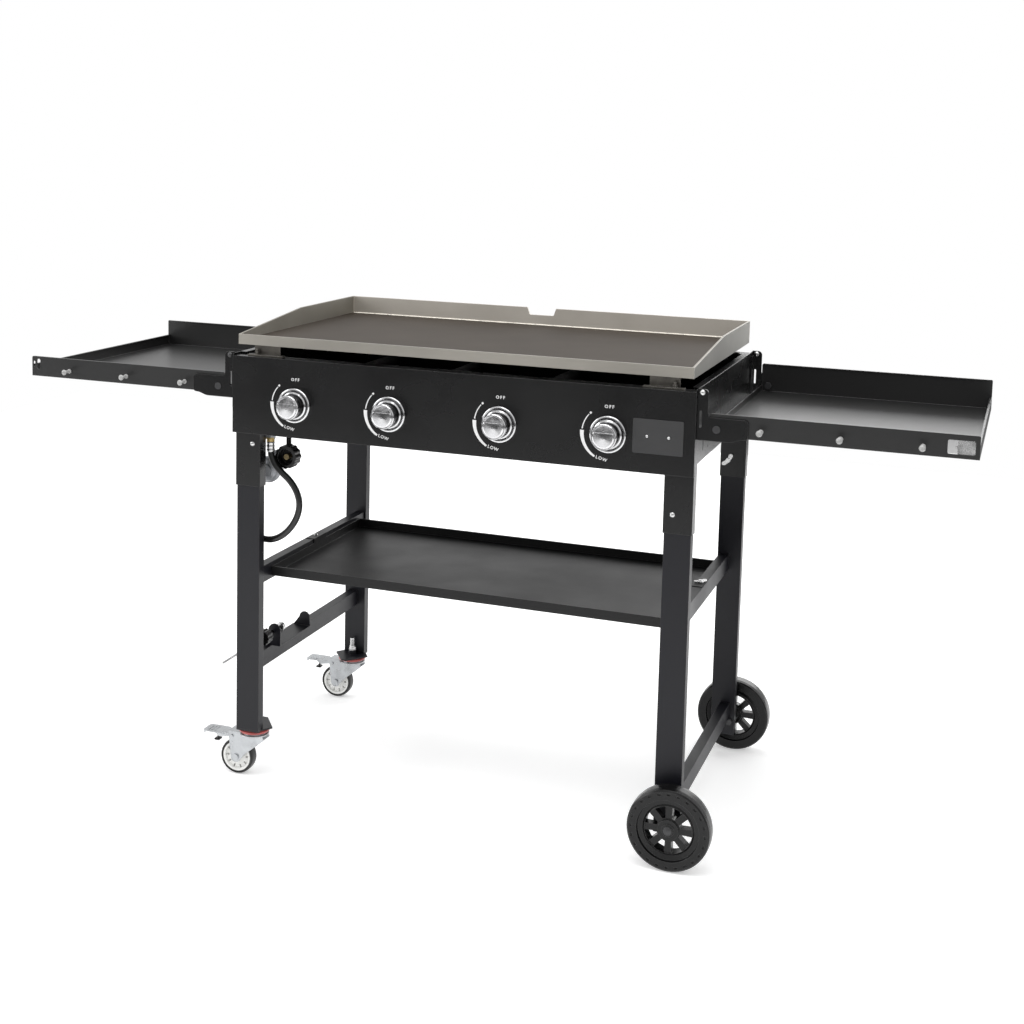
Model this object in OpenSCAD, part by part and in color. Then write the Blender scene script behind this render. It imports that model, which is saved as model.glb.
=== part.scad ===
// Four burner gas griddle on a folding-shelf cart.
// X runs to the right along the control panel, Y to the back, Z up. The floor is Z = 0.
// Inside the modules Y = 0 is the front wall of the griddle; place() centres the cart on Y.

/* [Griddle] */
// Outer width of the griddle
griddle_w = 914; // [820:2:1000]
// Outer depth of the griddle
griddle_d = 530; // [480:2:600]
// Height of the griddle's front rim above the floor
rim_h = 918; // [860:2:960]
// Thickness of the cooking plate
plate_t = 6; // [4:0.5:10]
// Thickness of the griddle walls
wall_t = 4; // [3:0.5:6]
// Height of the front wall
front_wall_h = 20; // [16:1:28]
// Extra height of the back wall over the front wall
back_rise = 26; // [14:1:40]
// Length of the sloping part of each side wall
ramp_len = 265; // [120:5:400]
// Drop of the wall edge below the plate
edge_drop = 2; // [1:0.5:4]
// Width of the notch in the back wall
notch_w = 66; // [40:2:120]
// Depth of the notch in the back wall
notch_d = 16; // [8:1:20]
// Width of the grease drain in the plate
drain_w = 34; // [24:1:50]
// Depth of the grease drain, front to back
drain_d = 10; // [8:1:16]
// Height of the griddle feet
foot_h = 24; // [16:1:34]
// Width of a griddle foot
foot_w = 76; // [56:1:80]
// Distance of a griddle foot's middle from the sides of griddle and cart
foot_in = 60; // [50:1:110]

/* [Cart body] */
// Outer width of the cart body
body_w = 930; // [920:2:1000]
// Distance of the control panel face in front of the griddle
panel_out = 10; // [6:1:30]
// Height of the control panel
panel_h = 154; // [130:1:190]
// Distance of the rear panel's back face behind the griddle
rear_out = 10; // [8:1:30]
// Height of the side panels
side_h = 138; // [120:1:160]
// Step of the side panels above the control panel
side_step = 4; // [2:0.5:8]
// Thickness of the sheet steel
sheet = 1.5; // [1:0.1:2]
// Width of the badge plate
badge_w = 93; // [60:1:110]
// Height of the badge plate
badge_h = 63; // [40:1:80]

/* [Knobs] */
// Distance of the left knob from the left end of the control panel
knob_left = 138; // [110:1:200]
// Distances of the other knobs from the right end of the control panel
knob_in = [591, 368, 159]; // [100:1:650]
// Height of the knob axes above the control panel's lower edge
knob_up = 65; // [55:1:80]
// Diameter of a knob
knob_d = 49; // [40:1:54]
// Distance that a knob stands out of the panel
knob_reach = 39; // [30:1:50]
// Outer diameter of the chrome bezel
bezel_d = 69; // [64:1:80]
// Height of the chrome bezel
bezel_h = 8; // [5:0.5:10]
// Width of the raised bezel ring
bezel_ring = 6; // [4:0.5:6.5]
// Diameter of the valve stem
stem_d = 8; // [6:0.5:10]
// Travel of a knob when it is pushed in
knob_push = 4; // [2:0.5:4]

/* [Gas train] */
// Diameter of the manifold pipe
manifold_d = 22; // [18:1:26]
// Distance of the manifold behind the griddle's front wall
manifold_y = 44; // [44:1:60]
// Outer diameter of a burner tube
burner_d = 32; // [26:1:38]
// Length of a burner tube
burner_len = 410; // [340:5:430]
// Height of the burner axis above the valve axis
burner_up = 22; // [20:1:30]
// Outer diameter of the gas hose
hose_d = 13; // [12:0.5:14]
// Outer diameter of the regulator
regulator_d = 54; // [48:1:58]
// Thickness of the regulator
regulator_t = 30; // [24:1:32]
// Outer diameter of the coupling nut
nut_d = 48; // [42:1:50]
// Depth of the coupling nut
nut_t = 24; // [18:1:26]

/* [Side shelves] */
// Length of a side shelf, away from the cart
shelf_len = 458; // [380:2:500]
// Gap between the cart body and the shelf pan
shelf_gap = 22; // [20:1:30]
// Height of the front flange of a side shelf
flange_h = 41; // [36:1:50]
// Extra height of the shelf's rear wall over the front flange
shelf_back_rise = 18; // [8:1:26]
// Height of the end lip of a side shelf
end_lip_h = 24; // [16:1:30]
// Drop of the shelf floor below the griddle's front rim
shelf_drop = 120; // [110:1:130]
// Width of the rolled edge on the flanges
hem = 4; // [3:0.5:5]
// Distance from the cart body to the shelf pivot
pivot_out = 36; // [32:1:40]
// Height of the shelf pivot above the shelf floor
pivot_up = 13; // [12:1:20]
// Diameter of the shelf pivot pins
pivot_d = 8; // [6:0.5:10]
// Length of a hinge arm from the cart body
arm_len = 92; // [84:1:96]
// Height of a hinge arm
arm_h = 42; // [38:1:46]
// Thickness of the hinge brackets
bracket_t = 3; // [2:0.5:4]
// Width of the upright ear of a hinge bracket
ear_w = 20; // [16:1:21]
// Distance of the first tool peg from the pivot
peg_start = 78; // [74:1:90]
// Distance between tool pegs
peg_pitch = 137; // [110:1:150]
// Diameter of a tool peg's head
peg_d = 11.5; // [10:0.5:16]
// Distance that a tool peg stands out of the flange
peg_out = 25; // [18:1:30]
// Width of the bottle opener's cut-out
opener_w = 45; // [34:1:50]
// Height of the bottle opener's cut-out
opener_h = 24; // [18:1:27]

/* [Legs] */
// Width of a leg tube
leg_w = 50; // [40:1:60]
// Depth of a leg tube
leg_d = 20; // [18:1:24]
// Wall of the leg tubes
leg_wall = 2; // [1.5:0.1:2.5]
// Distance from the griddle's front wall to the front legs
leg_front = 4; // [4:0.5:10]
// Height of the leg sleeves' lower ends above the floor
sleeve_low = 613; // [560:1:660]
// Height of the caster legs' lower ends above the floor
caster_leg_z = 106; // [100:1:130]
// Height of the wheel legs' lower ends above the floor
wheel_leg_z = 48; // [40:1:60]

/* [Lower shelf and bars] */
// Height of the lower shelf's rails above the floor
rail_z = 410; // [340:2:460]
// Height of a shelf rail
rail_h = 34; // [30:1:40]
// Width of a shelf rail and of a lower bar
bar_w = 20; // [16:1:24]
// Height of the lower shelf's lip
lip_h = 19; // [14:1:24]
// Distance from the front legs to the lower shelf
tray_in = 39; // [20:1:60]
// Thickness of the lower shelf's sheet
tray_t = 1.2; // [0.8:0.1:2]
// Height of the left lower bar above the floor
left_bar_z = 222; // [180:1:260]
// Height of the lower bars
bar_h = 34; // [28:1:40]

/* [Wheels] */
// Diameter of a big wheel
wheel_d = 155; // [140:1:170]
// Width of a big wheel
wheel_w = 35; // [28:1:40]
// Gap between a leg and its big wheel
wheel_gap = 18; // [14:1:26]
// Distance of the wheel axles from the legs' outer sides
axle_in = 11.2; // [9:0.1:20]
// Diameter of the wheel axle bolts
axle_d = 8; // [6:0.5:10]
// Number of spokes of a big wheel
spokes = 8; // [6:1:10]
// Number of recesses round a big wheel's sidewall
dashes = 24; // [16:1:30]

/* [Casters] */
// Diameter of a caster wheel
caster_d = 73; // [68:1:76]
// Width of a caster tread
caster_w = 23; // [16:1:25]
// Thickness of a caster tread
tread_t = 6; // [4:0.5:8]
// Distance from the swivel axis to the caster axle
trail = 36; // [32:1:40]
// Distance from the leg's middle to the swivel axis, towards the cart's middle
swivel_in = 21; // [20:1:24]
// Diameter of the caster stem
caster_stem_d = 10; // [8:0.5:12]
// Length of the caster stem above its plate
stem_up = 38; // [28:1:44]
// Diameter of the dust ring
ring_d = 62; // [56:1:66]
// Direction of the casters at rest, in degrees
heading = 181; // [150:1:200]
// Length of the brake pedal from its pivot
pedal_len = 66; // [56:1:74]
// Width of the brake pedal's tip
pedal_w = 36; // [28:1:42]

/* [Grease cup] */
// Width of the grease cup
cup_w = 110; // [80:1:140]
// Depth of the grease cup, front to back
cup_d = 44; // [36:1:46]
// Height of the grease cup
cup_h = 62; // [40:1:80]

/* [Hidden] */
$fn = 48;

// Clearances
run = 0.05;
seat = 0.3;
eps = 0.01;

// Levels of the griddle and the cart body
wall_z = rim_h - front_wall_h;
plate_z = wall_z + edge_drop;
plate_top = plate_z + plate_t;
back_top = rim_h + back_rise;
panel_top = plate_z - foot_h;
panel_z = panel_top - panel_h;
side_top = panel_top + side_step;
side_z = side_top - side_h;
knob_z = panel_z + knob_up;
body_x = body_w / 2;
side_in = body_x - sheet;
knob_x = concat([knob_left - body_x], [for (d = knob_in) body_x - d]);
foot_x = (griddle_w / 2 + body_x) / 2 - foot_in;
chute_z = panel_top + foot_h / 3;
panel_y = -panel_out;
panel_back = panel_y + sheet;
rear_y = griddle_d + rear_out;
rear_front = rear_y - sheet;
top_return = 30;
panel_return = 9;
side_return = 20;
shield_z = side_z + sheet;

// Legs and sleeves
sleeve_x1 = side_in - seat;
sleeve_x0 = sleeve_x1 - leg_w - 2 * leg_wall;
leg_x1 = sleeve_x1 - leg_wall;
leg_x0 = leg_x1 - leg_w;
leg_x = (leg_x0 + leg_x1) / 2;
wheel_x = leg_x1 - axle_in;
rear_leg_y = rear_front - seat - leg_wall - leg_d;
leg_top = panel_top - 34;
sleeve_top = panel_top - 14;
cart_back = rear_leg_y + leg_d;
cart_mid = (leg_front + cart_back) / 2;
bolt_x = leg_x - 10;
bolt_high = sleeve_low + 87;
bolt_low = sleeve_low + 35;
bolt_d = 6;

// Side shelves and their hinges
shelf_x0 = body_x + shelf_gap;
shelf_x1 = shelf_x0 + shelf_len;
shelf_z = rim_h - shelf_drop;
flange_z = shelf_z + flange_h;
shelf_back_z = flange_z + shelf_back_rise;
shelf_y0 = -1;
shelf_y1 = griddle_d - 1;
pivot_x = body_x + pivot_out;
pivot_z = shelf_z + pivot_up;
arm_z0 = pivot_z - arm_h / 2;
arm_z1 = pivot_z + arm_h / 2;
ear_z = panel_top + 6;
ear_bolt_x = body_x + 9;
ear_bolt_z = ear_z - 6.5;
pin_head = 0.8;
nut_h = 5;
opener_x = shelf_x1 - 30;
opener_z = shelf_z + 19;

// Shelf rails and lower bars
bar_x1 = leg_x1 - (leg_w - bar_w) / 2 + 4;
bar_x0 = bar_x1 - bar_w;
rail_x0 = leg_x0 + 4;
rail_x1 = rail_x0 + bar_w;
rail_top = rail_z + rail_h;
tray_x = rail_x0 - seat;
tray_z = rail_z + 6;
tray_y0 = leg_front + leg_d + tray_in;
tray_y1 = rear_leg_y - tray_in + 13;
shelf_tab_y = 285;
tab_len = 60;
axle_hex = 13;
right_bar_z = wheel_d / 2 + axle_hex / 2 + 0.5;

// Wheels and casters
cap_t = 3;
tyre_in = 0.75 * wheel_d / 2;
rim_in = 0.57 * wheel_d / 2;
hub_r = 0.25 * wheel_d / 2;
caster_r = caster_d / 2;
swivel_front_y = leg_front + leg_d / 2 + swivel_in;
swivel_rear_y = rear_leg_y + leg_d / 2 - swivel_in;
plate_low = caster_leg_z - 3;
fork_z = plate_low - 15;
fork_t = 3;
cheek_t = 2;
cheek_in = caster_w / 2 + 1.2;
pedal_pivot = trail + 9;
pedal_z = caster_d + 7;
pin_d = 5;

// Gas train
valve_y0 = panel_back;
valve_y1 = manifold_y - manifold_d / 2;
burner_z = knob_z + burner_up;
burner_y0 = manifold_y + manifold_d / 2 + 4;
nozzle_r = 5;
hose_x = 6.2 - leg_x0;
hose_y = 38;
fitting_z = panel_z - 22;
regulator_x = hose_x - 22;
regulator_y = 71;
regulator_z = panel_z - 88;
nut_x = hose_x + 29;
nut_y = 46;
nut_z = panel_z - 54;
rib_pitch = 80;
saddle_y = [1.5 * rib_pitch + 13, 4.5 * rib_pitch + 13];

// Tank clamp on the left lower bar
clamp_x = -bar_x1 + 22;
clamp_z = left_bar_z + bar_h + 29;
clamp_y0 = 95;
clamp_y1 = 235;
clamp_t = 3;
hook_z = left_bar_z + 9;
hook_y = 150;

// Grease cup on the rear panel
cup_top = panel_top - 26;
cup_y0 = rear_y + 1;
cup_y1 = cup_y0 + cup_d;
cup_t = 1.2;

// Centres the cart's depth on Y = 0
module place() {
    translate([0, -cart_mid, 0]) children();
}

module box(x0, x1, y0, y1, z0, z1) {
    translate([x0, y0, z0]) cube([x1 - x0, y1 - y0, z1 - z0]);
}

module rod_x(x0, x1, y, z, d) {
    translate([x0, y, z]) rotate([0, 90, 0]) cylinder(h = x1 - x0, d = d);
}

module rod_y(x, y0, y1, z, d) {
    translate([x, y0, z]) rotate([-90, 0, 0]) cylinder(h = y1 - y0, d = d);
}

module rod_z(x, y, z0, z1, d) {
    translate([x, y, z0]) cylinder(h = z1 - z0, d = d);
}

module hex_y(x, y0, y1, z, af) {
    translate([x, y0, z]) rotate([-90, 0, 0]) cylinder(h = y1 - y0, d = af / cos(30), $fn = 6);
}

module both_sides() {
    children();
    mirror([1, 0, 0]) children();
}

// An outline in X and Z, pushed from y0 to y1
module slab_xz(y0, y1) {
    translate([0, y1, 0]) rotate([90, 0, 0]) linear_extrude(height = y1 - y0) children();
}

// An outline in Y and Z, pushed from x0 to x1
module slab_yz(x0, x1) {
    translate([x0, 0, 0]) rotate([90, 0, 90]) linear_extrude(height = x1 - x0) children();
}

// Points of an arc, for outlines with round corners
function arc(cx, cy, r, a0, a1, n = 6) =
    [for (i = [0:n]) [cx + r * cos(a0 + (a1 - a0) * i / n), cy + r * sin(a0 + (a1 - a0) * i / n)]];

function round_rect(x0, x1, y0, y1, r) = concat(
    arc(x1 - r, y1 - r, r, 0, 90), arc(x0 + r, y1 - r, r, 90, 180),
    arc(x0 + r, y0 + r, r, 180, 270), arc(x1 - r, y0 + r, r, 270, 360));

// Griddle

module side_wall() {
    slab_yz(griddle_w / 2 - wall_t, griddle_w / 2)
        polygon([[0, wall_z], [griddle_d, wall_z], [griddle_d, back_top],
                 [ramp_len, back_top], [0, rim_h]]);
}

module back_wall() {
    foot = notch_w / 2 - 4;
    r = 5;
    slab_xz(griddle_d - wall_t, griddle_d)
        polygon(concat([[-griddle_w / 2, wall_z], [griddle_w / 2, wall_z], [griddle_w / 2, back_top],
                        [notch_w / 2, back_top]],
                       arc(foot - r, back_top - notch_d + r, r, 0, -90),
                       arc(-foot + r, back_top - notch_d + r, r, -90, -180),
                       [[-notch_w / 2, back_top], [-griddle_w / 2, back_top]]));
}

module griddle_plate() {
    x = griddle_w / 2;
    y1 = griddle_d - wall_t;
    t = 3;
    end = cup_y0 + cup_d * 0.6;
    slot_y = y1 - 3 - drain_d;
    w = drain_w / 2;
    color("dimgray") place() {
        difference() {
            union() {
                box(-x + wall_t, x - wall_t, wall_t, y1, plate_z, plate_top);
                box(-x, x, 0, wall_t, wall_z, rim_h);
                both_sides() side_wall();
                back_wall();
            }
            box(-w, w, slot_y, slot_y + drain_d, plate_z - 1, plate_top + 1);
        }
        // Chute that carries the grease under the back wall, over the rear panel and into the cup
        box(-w - t, w + t, slot_y - t, end, chute_z, chute_z + 2);
        box(-w - t, w + t, slot_y - t, slot_y, chute_z, plate_z + 1);
        both_sides() slab_yz(w, w + t)
            polygon([[slot_y - t, chute_z], [end, chute_z], [end, chute_z + 6], [griddle_d + 6, chute_z + 9],
                     [griddle_d - 1, wall_z + 1], [griddle_d - 1, plate_z + 1], [slot_y - t, plate_z + 1]]);
        box(-w - t, w + t, end - 2, end, chute_z - 8, chute_z + 2);
    }
}

// One foot: a folded steel bracket, open to the front, with its levelling bolt
module griddle_foot(y_front, y_web) {
    t = 2.5;
    top = foot_w / 2 - 10;
    bolt = foot_w / 2 - 18;
    mid = (y_front + y_web - t) / 2;
    translate([foot_x, 0, 0]) {
        difference() {
            union() {
                box(-top, top, y_web - t, y_web, panel_top, plate_z);
                box(-foot_w / 2, foot_w / 2, y_front, y_web, panel_top, panel_top + t);
                box(-top, top, y_front, y_web, plate_z - t, plate_z);
            }
            rod_z(bolt, mid, panel_top - 1, panel_top + t + 1, 6.2);
        }
        rod_z(bolt, mid, panel_top, panel_top + t + 10, 6);
        translate([bolt, mid, panel_top + t]) cylinder(h = 5, d = 10, $fn = 6);
    }
}

module griddle_feet() {
    color("silver") place() both_sides() {
        griddle_foot(wall_t + seat, wall_t + 14);
        griddle_foot(griddle_d - wall_t - 14, griddle_d - wall_t - seat);
    }
}

// Cart body

module control_panel() {
    color([0.13, 0.13, 0.13]) place() difference() {
        union() {
            box(-body_x, body_x, panel_y, panel_back, panel_z, panel_top);
            box(-side_in, side_in, panel_y, panel_y + top_return, panel_top - sheet, panel_top);
            box(-body_x, body_x, panel_y, panel_y + panel_return, panel_z, panel_z + sheet);
        }
        for (x = knob_x) rod_y(x, panel_y - 1, panel_back + 1, knob_z, stem_d + 10);
    }
}

module side_panel() {
    y0 = panel_back;
    y1 = rear_front;
    in_x = side_in;
    notch0 = leg_front + leg_d + leg_wall + 4;
    notch1 = rear_leg_y - leg_wall - 4;
    difference() {
        union() {
            box(in_x, body_x, y0, y1, side_z, side_top);
            box(in_x - 12, body_x, y0 + top_return, y1 - top_return, side_top - sheet, side_top);
            box(in_x - side_return, body_x, notch0, notch1, side_z, side_z + sheet);
            box(in_x - 8, body_x, y0, y0 + sheet, side_z, side_top - side_step - sheet);
        }
        slab_yz(in_x - 1, body_x + 1) polygon(round_rect(57, 62, side_z + 16, side_z + 45, 2.4));
        rod_x(in_x - 1, body_x + 1, 101, side_z + 18, 6);
        rod_x(in_x - 1, body_x + 1, griddle_d - 101, side_z + 18, 6);
    }
}

module side_panel_left() {
    color([0.12, 0.12, 0.12]) place() mirror([1, 0, 0]) side_panel();
}

module side_panel_right() {
    color([0.12, 0.12, 0.12]) place() side_panel();
}

module rear_panel() {
    rail_y = cup_y0 + cup_d + 1;
    color([0.12, 0.12, 0.12]) place() {
        box(-body_x, body_x, rear_front, rear_y, panel_z, panel_top);
        box(-side_in, side_in, rear_y - top_return, rear_y, panel_top - sheet, panel_top);
        box(1 - sleeve_x0, sleeve_x0 - 1, rear_front - panel_return + sheet, rear_y, panel_z,
            panel_z + sheet);
        // Two folded rails that carry the grease cup by its rim
        both_sides() {
            box(cup_w / 2 + 2.5, cup_w / 2 + 4, rear_y - eps, rail_y, cup_top - 16, cup_top + 3);
            box(cup_w / 2 + 0.5, cup_w / 2 + 4, rear_y - eps, rail_y, cup_top - 1.5 - cup_t,
                cup_top - cup_t);
        }
    }
}

module heat_shield() {
    x = side_in - seat;
    y0 = panel_back + seat;
    y1 = rear_front - seat;
    color("gray") place() difference() {
        union() {
            box(-x, x, y0 + sheet, y1 - sheet, shield_z, shield_z + sheet);
            for (i = [1:5]) translate([0, i * rib_pitch, shield_z + sheet]) box(60 - x, x - 60, 8, 20, 0, 3);
        }
        both_sides() {
            box(sleeve_x0 - 9, x + 1, y0 - 1, leg_front + leg_d + leg_wall + seat, shield_z - 1,
                shield_z + 9);
            box(sleeve_x0 - 9, x + 1, rear_leg_y - leg_wall - seat, y1 + 1, shield_z - 1, shield_z + 9);
        }
        rod_z(hose_x, hose_y, shield_z - 1, shield_z + sheet + 1, 14.6);
    }
}

badge_x1 = body_x - 21;
badge_z = panel_z + 36;
badge_y = panel_y - 1;
badge_screws = [for (s = [-1, 1]) [badge_x1 - badge_w / 2 + s * 20, badge_z + badge_h / 2]];

module badge_plate() {
    color([0.17, 0.17, 0.17]) place() difference() {
        slab_xz(badge_y, panel_y)
            polygon(round_rect(badge_x1 - badge_w, badge_x1, badge_z, badge_z + badge_h, 3));
        for (b = badge_screws) rod_y(b[0], badge_y - 1, panel_y + 1, b[1], 3.1);
    }
}

// Low domed head, flat side at Z = 0
module dome(d, h) {
    r = (d * d / 4 + h * h) / (2 * h);
    intersection() {
        translate([0, 0, h - r]) sphere(r = r);
        cylinder(h = h, d = d);
    }
}

// Knobs, bezels and valves

module bezel() {
    r = bezel_d / 2;
    rotate([90, 0, 0]) rotate_extrude($fn = 64)
        polygon(concat([[stem_d / 2 + 5, 0], [r, 0]],
                       arc(r - bezel_ring / 2, bezel_h - bezel_ring / 2, bezel_ring / 2, 0, 180, 8),
                       [[r - bezel_ring, 1.5], [stem_d / 2 + 5, 1.5]]));
}

module bezels() {
    color("gainsboro") place() for (x = knob_x) translate([x, panel_y, knob_z]) bezel();
}

// The knob faces -Y. Its skirt sits in the bezel, its front face has a raised half.
module knob() {
    r = knob_d / 2;
    skirt = bezel_d / 2 - bezel_ring - 1.5;
    back = 6;
    face = knob_reach - 4;
    rotate([90, 0, 0]) difference() {
        union() {
            rotate_extrude($fn = 64)
                polygon([[0, back], [skirt, back], [skirt, back + 1.6], [r, back + 3.4], [r - 0.6,
                    face - 1.5],
                         [r - 2, face], [r - 4, face], [r - 4.6, face - 1], [0, face - 1]]);
            // Raised lower part of the front face, cut off along a chord
            intersection() {
                rotate_extrude($fn = 64)
                    polygon([[0, face - 1.5], [r - 4, face - 1.5], [r - 4, face + 2],
                             [r - 6.5, knob_reach - 0.8], [0, knob_reach]]);
                translate([-r, -r, 0]) cube([2 * r, 1.32 * r, knob_reach + 1]);
            }
            // Pointer on the upper part
            translate([-1.2, 0.45 * r, face - 1.5]) cube([2.4, 0.42 * r, 2.2]);
        }
        translate([0, 0, back - 1]) cylinder(h = knob_reach - back - 7, d = stem_d + 2 * run);
    }
}

module knob_at(i) {
    color("lightgray") place() translate([knob_x[i], panel_y, knob_z]) knob();
}

module knob_1() { knob_at(0); }
module knob_2() { knob_at(1); }
module knob_3() { knob_at(2); }
module knob_4() { knob_at(3); }

module stem_at(i) {
    tip = panel_y - knob_reach + knob_push + 9.5;
    color("goldenrod") place() rod_y(knob_x[i], tip, valve_y0 + 20, knob_z, stem_d);
}

module valve_stem_1() { stem_at(0); }
module valve_stem_2() { stem_at(1); }
module valve_stem_3() { stem_at(2); }
module valve_stem_4() { stem_at(3); }

module gas_valves() {
    color("goldenrod") place() for (x = knob_x) difference() {
        union() {
            rod_y(x, valve_y0, valve_y0 + 2.5, knob_z, 34);
            rod_y(x, valve_y0, valve_y0 + 12, knob_z, 19);
            box(x - 11, x + 11, valve_y0 + 12, valve_y1 - 0.2, knob_z - 11, knob_z + 11);
            rod_z(x, valve_y0 + 22, knob_z + 8, burner_z, 10);
            translate([x, valve_y0 + 22, burner_z]) sphere(d = 10);
            rod_y(x, valve_y0 + 22, burner_y0 + 8, burner_z, 2 * nozzle_r);
        }
        rod_y(x, valve_y0 - 1, valve_y0 + 20.5, knob_z, stem_d + 2 * run);
    }
}

module gas_manifold() {
    x0 = hose_x - 12;
    x1 = max(knob_x) + 40;
    color("gray") place() {
        rod_x(x0, x1, manifold_y, knob_z, manifold_d);
        rod_x(x1 - 3, x1 + 5, manifold_y, knob_z, manifold_d + 4);
        // Inlet pipe and flare fitting for the hose
        rod_z(hose_x, hose_y, fitting_z + 24, knob_z, 14);
        translate([hose_x, hose_y, fitting_z + 6]) cylinder(h = 20, d = 22, $fn = 6);
        rod_z(hose_x, hose_y, fitting_z + 0.3, fitting_z + 7, 16);
    }
}

module burner() {
    y0 = burner_y0;
    y1 = burner_y0 + burner_len;
    bore = burner_d - 3;
    difference() {
        union() {
            rod_y(0, y0, y1, burner_z, burner_d);
            // Flared air inlet at the front end
            translate([0, y0, burner_z]) rotate([-90, 0, 0]) cylinder(h = 10, d1 = burner_d + 8,
                d2 = burner_d, $fn = 32);
            // Saddles that stand the burner on the heat shield
            for (y = saddle_y) box(-9, 9, y, y + 2, shield_z + sheet + seat, burner_z - 8);
        }
        rod_y(0, y0 - 1, y1 - 3, burner_z, bore);
        for (s = [-1, 1]) translate([s * (burner_d / 2 + 2), y0 + 24, burner_z]) cylinder(h = 14,
            d = 10, center = true);
    }
}

module burners() {
    color("silver") place() for (x = knob_x) translate([x, 0, 0]) burner();
}

module spark_igniters() {
    color("white") place() for (x = knob_x) {
        y = burner_y0 + 70;
        z0 = shield_z + sheet;
        box(x + burner_d / 2 + 2, x + burner_d / 2 + 14, y - 8, y + 8, z0, z0 + 1.2);
        rod_z(x + burner_d / 2 + 8, y, z0 + 1.2, burner_z - 2, 7);
        rod_z(x + burner_d / 2 + 8, y, burner_z - 2, burner_z + 14, 2.4);
    }
}

// Hinge brackets: an ear bolted to the cart body and an arm with the pivot hole

module bracket_outline() {
    s = body_x;
    rise = 6;
    polygon(concat(
        [[s, arm_z0]],
        [for (i = [0:8]) [s + arm_len - 34 + 26 * i / 8, arm_z0 + rise * (1 - cos(180 * i / 8)) / 2]],
        arc(s + arm_len - 6, arm_z0 + rise + 6, 6, -60, 0, 3),
        arc(s + arm_len - 8, arm_z1 - 8, 8, 0, 90),
        arc(s + ear_w + 8, arm_z1 + 8, 8, 270, 180),
        arc(s + ear_w - 8, ear_z - 8, 8, 0, 90),
        [[s, ear_z]]));
}

module bracket(y0, fold) {
    difference() {
        union() {
            slab_xz(y0, y0 + bracket_t) bracket_outline();
            box(body_x, body_x + bracket_t, min(y0, y0 + fold), max(y0 + bracket_t, y0 + fold),
                arm_z0 + 8, ear_z - 10);
        }
        rod_y(pivot_x, y0 - 1, y0 + bracket_t + 1, pivot_z, pivot_d + 2 * run);
        rod_y(ear_bolt_x, y0 - 1, y0 + bracket_t + 1, ear_bolt_z, bolt_d + 2 * run);
        slab_xz(y0 - 1, y0 + bracket_t + 1)
            polygon(round_rect(body_x + 5, body_x + 9, arm_z1 - 19, arm_z1 + 11, 1.9));
    }
}

bracket_front_y = shelf_y0 - seat - bracket_t;
bracket_rear_y = shelf_y1 + seat;

module hinge_brackets() {
    color([0.12, 0.12, 0.12]) place() both_sides() {
        bracket(bracket_front_y, bracket_t + 16);
        bracket(bracket_rear_y, -16);
    }
}

// A bolt and nut through the ear of a hinge bracket
module ear_bolt(y) {
    dome_bolt_y(ear_bolt_x, y, ear_bolt_z, bracket_t + 7);
    hex_y(ear_bolt_x, y + bracket_t, y + bracket_t + 5, ear_bolt_z, 10);
}

module side_pins() {
    y0 = bracket_front_y;
    y1 = shelf_y0 + sheet + 1;
    rod_y(pivot_x, y0, y1 + nut_h, pivot_z, pivot_d);
    rod_y(pivot_x, y0 - pin_head, y0, pivot_z, pivot_d + 6);
    hex_y(pivot_x, y1, y1 + nut_h, pivot_z, pivot_d + 5);
    z1 = bracket_rear_y + bracket_t;
    z0 = shelf_y1 - sheet - 1;
    rod_y(pivot_x, z0 - nut_h, z1, pivot_z, pivot_d);
    rod_y(pivot_x, z1, z1 + pin_head, pivot_z, pivot_d + 6);
    hex_y(pivot_x, z0 - nut_h, z0, pivot_z, pivot_d + 5);
}

module hinge_pins() {
    color([0.12, 0.12, 0.12]) place() {
        both_sides() side_pins();
        // The left front ear has a black bolt
        mirror([1, 0, 0]) ear_bolt(bracket_front_y);
    }
}

// Side shelves

// The right shelf: a pan with a front flange, a rear wall, an end lip and a low inner lip
module shelf_pan() {
    t = sheet;
    inner_h = 14;
    difference() {
        union() {
            box(shelf_x0, shelf_x1, shelf_y0, shelf_y1, shelf_z, shelf_z + t);
            slab_xz(shelf_y0, shelf_y0 + t)
                polygon(concat([[shelf_x0, shelf_z], [shelf_x1, shelf_z]], arc(shelf_x1 - 3,
                    flange_z - 3, 3, 0, 90),
                               [[shelf_x0 + 3, flange_z], [shelf_x0, flange_z - 3]]));
            box(shelf_x0 + 5, shelf_x1 - 4, shelf_y0, shelf_y0 + hem, flange_z - 2.4, flange_z);
            slab_xz(shelf_y1 - t, shelf_y1)
                polygon(concat([[shelf_x0, shelf_z], [shelf_x1, shelf_z]], arc(shelf_x1 - 3,
                    shelf_back_z - 3, 3, 0, 90),
                               [[shelf_x0 + 3, shelf_back_z], [shelf_x0, shelf_back_z - 3]]));
            box(shelf_x0 + 5, shelf_x1 - 4, shelf_y1 - hem, shelf_y1, shelf_back_z - 2.4, shelf_back_z);
            box(shelf_x1 - t, shelf_x1, shelf_y0, shelf_y1, shelf_z, shelf_z + end_lip_h);
            box(shelf_x1 - hem, shelf_x1, shelf_y0 + hem, shelf_y1 - hem, shelf_z + end_lip_h - 2.4,
                shelf_z + end_lip_h);
            box(shelf_x0, shelf_x0 + t, shelf_y0, shelf_y1, shelf_z, shelf_z + inner_h);
        }
        for (y = [shelf_y0 - 1, shelf_y1 - t - 1]) rod_y(pivot_x, y, y + t + 2, pivot_z, pivot_d + 2 * run);
        for (i = [0:2])
            rod_y(pivot_x + peg_start + i * peg_pitch, shelf_y0 - 1, shelf_y0 + t + 1, shelf_z + 15.5,
                5 + 2 * run);
    }
}

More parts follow.
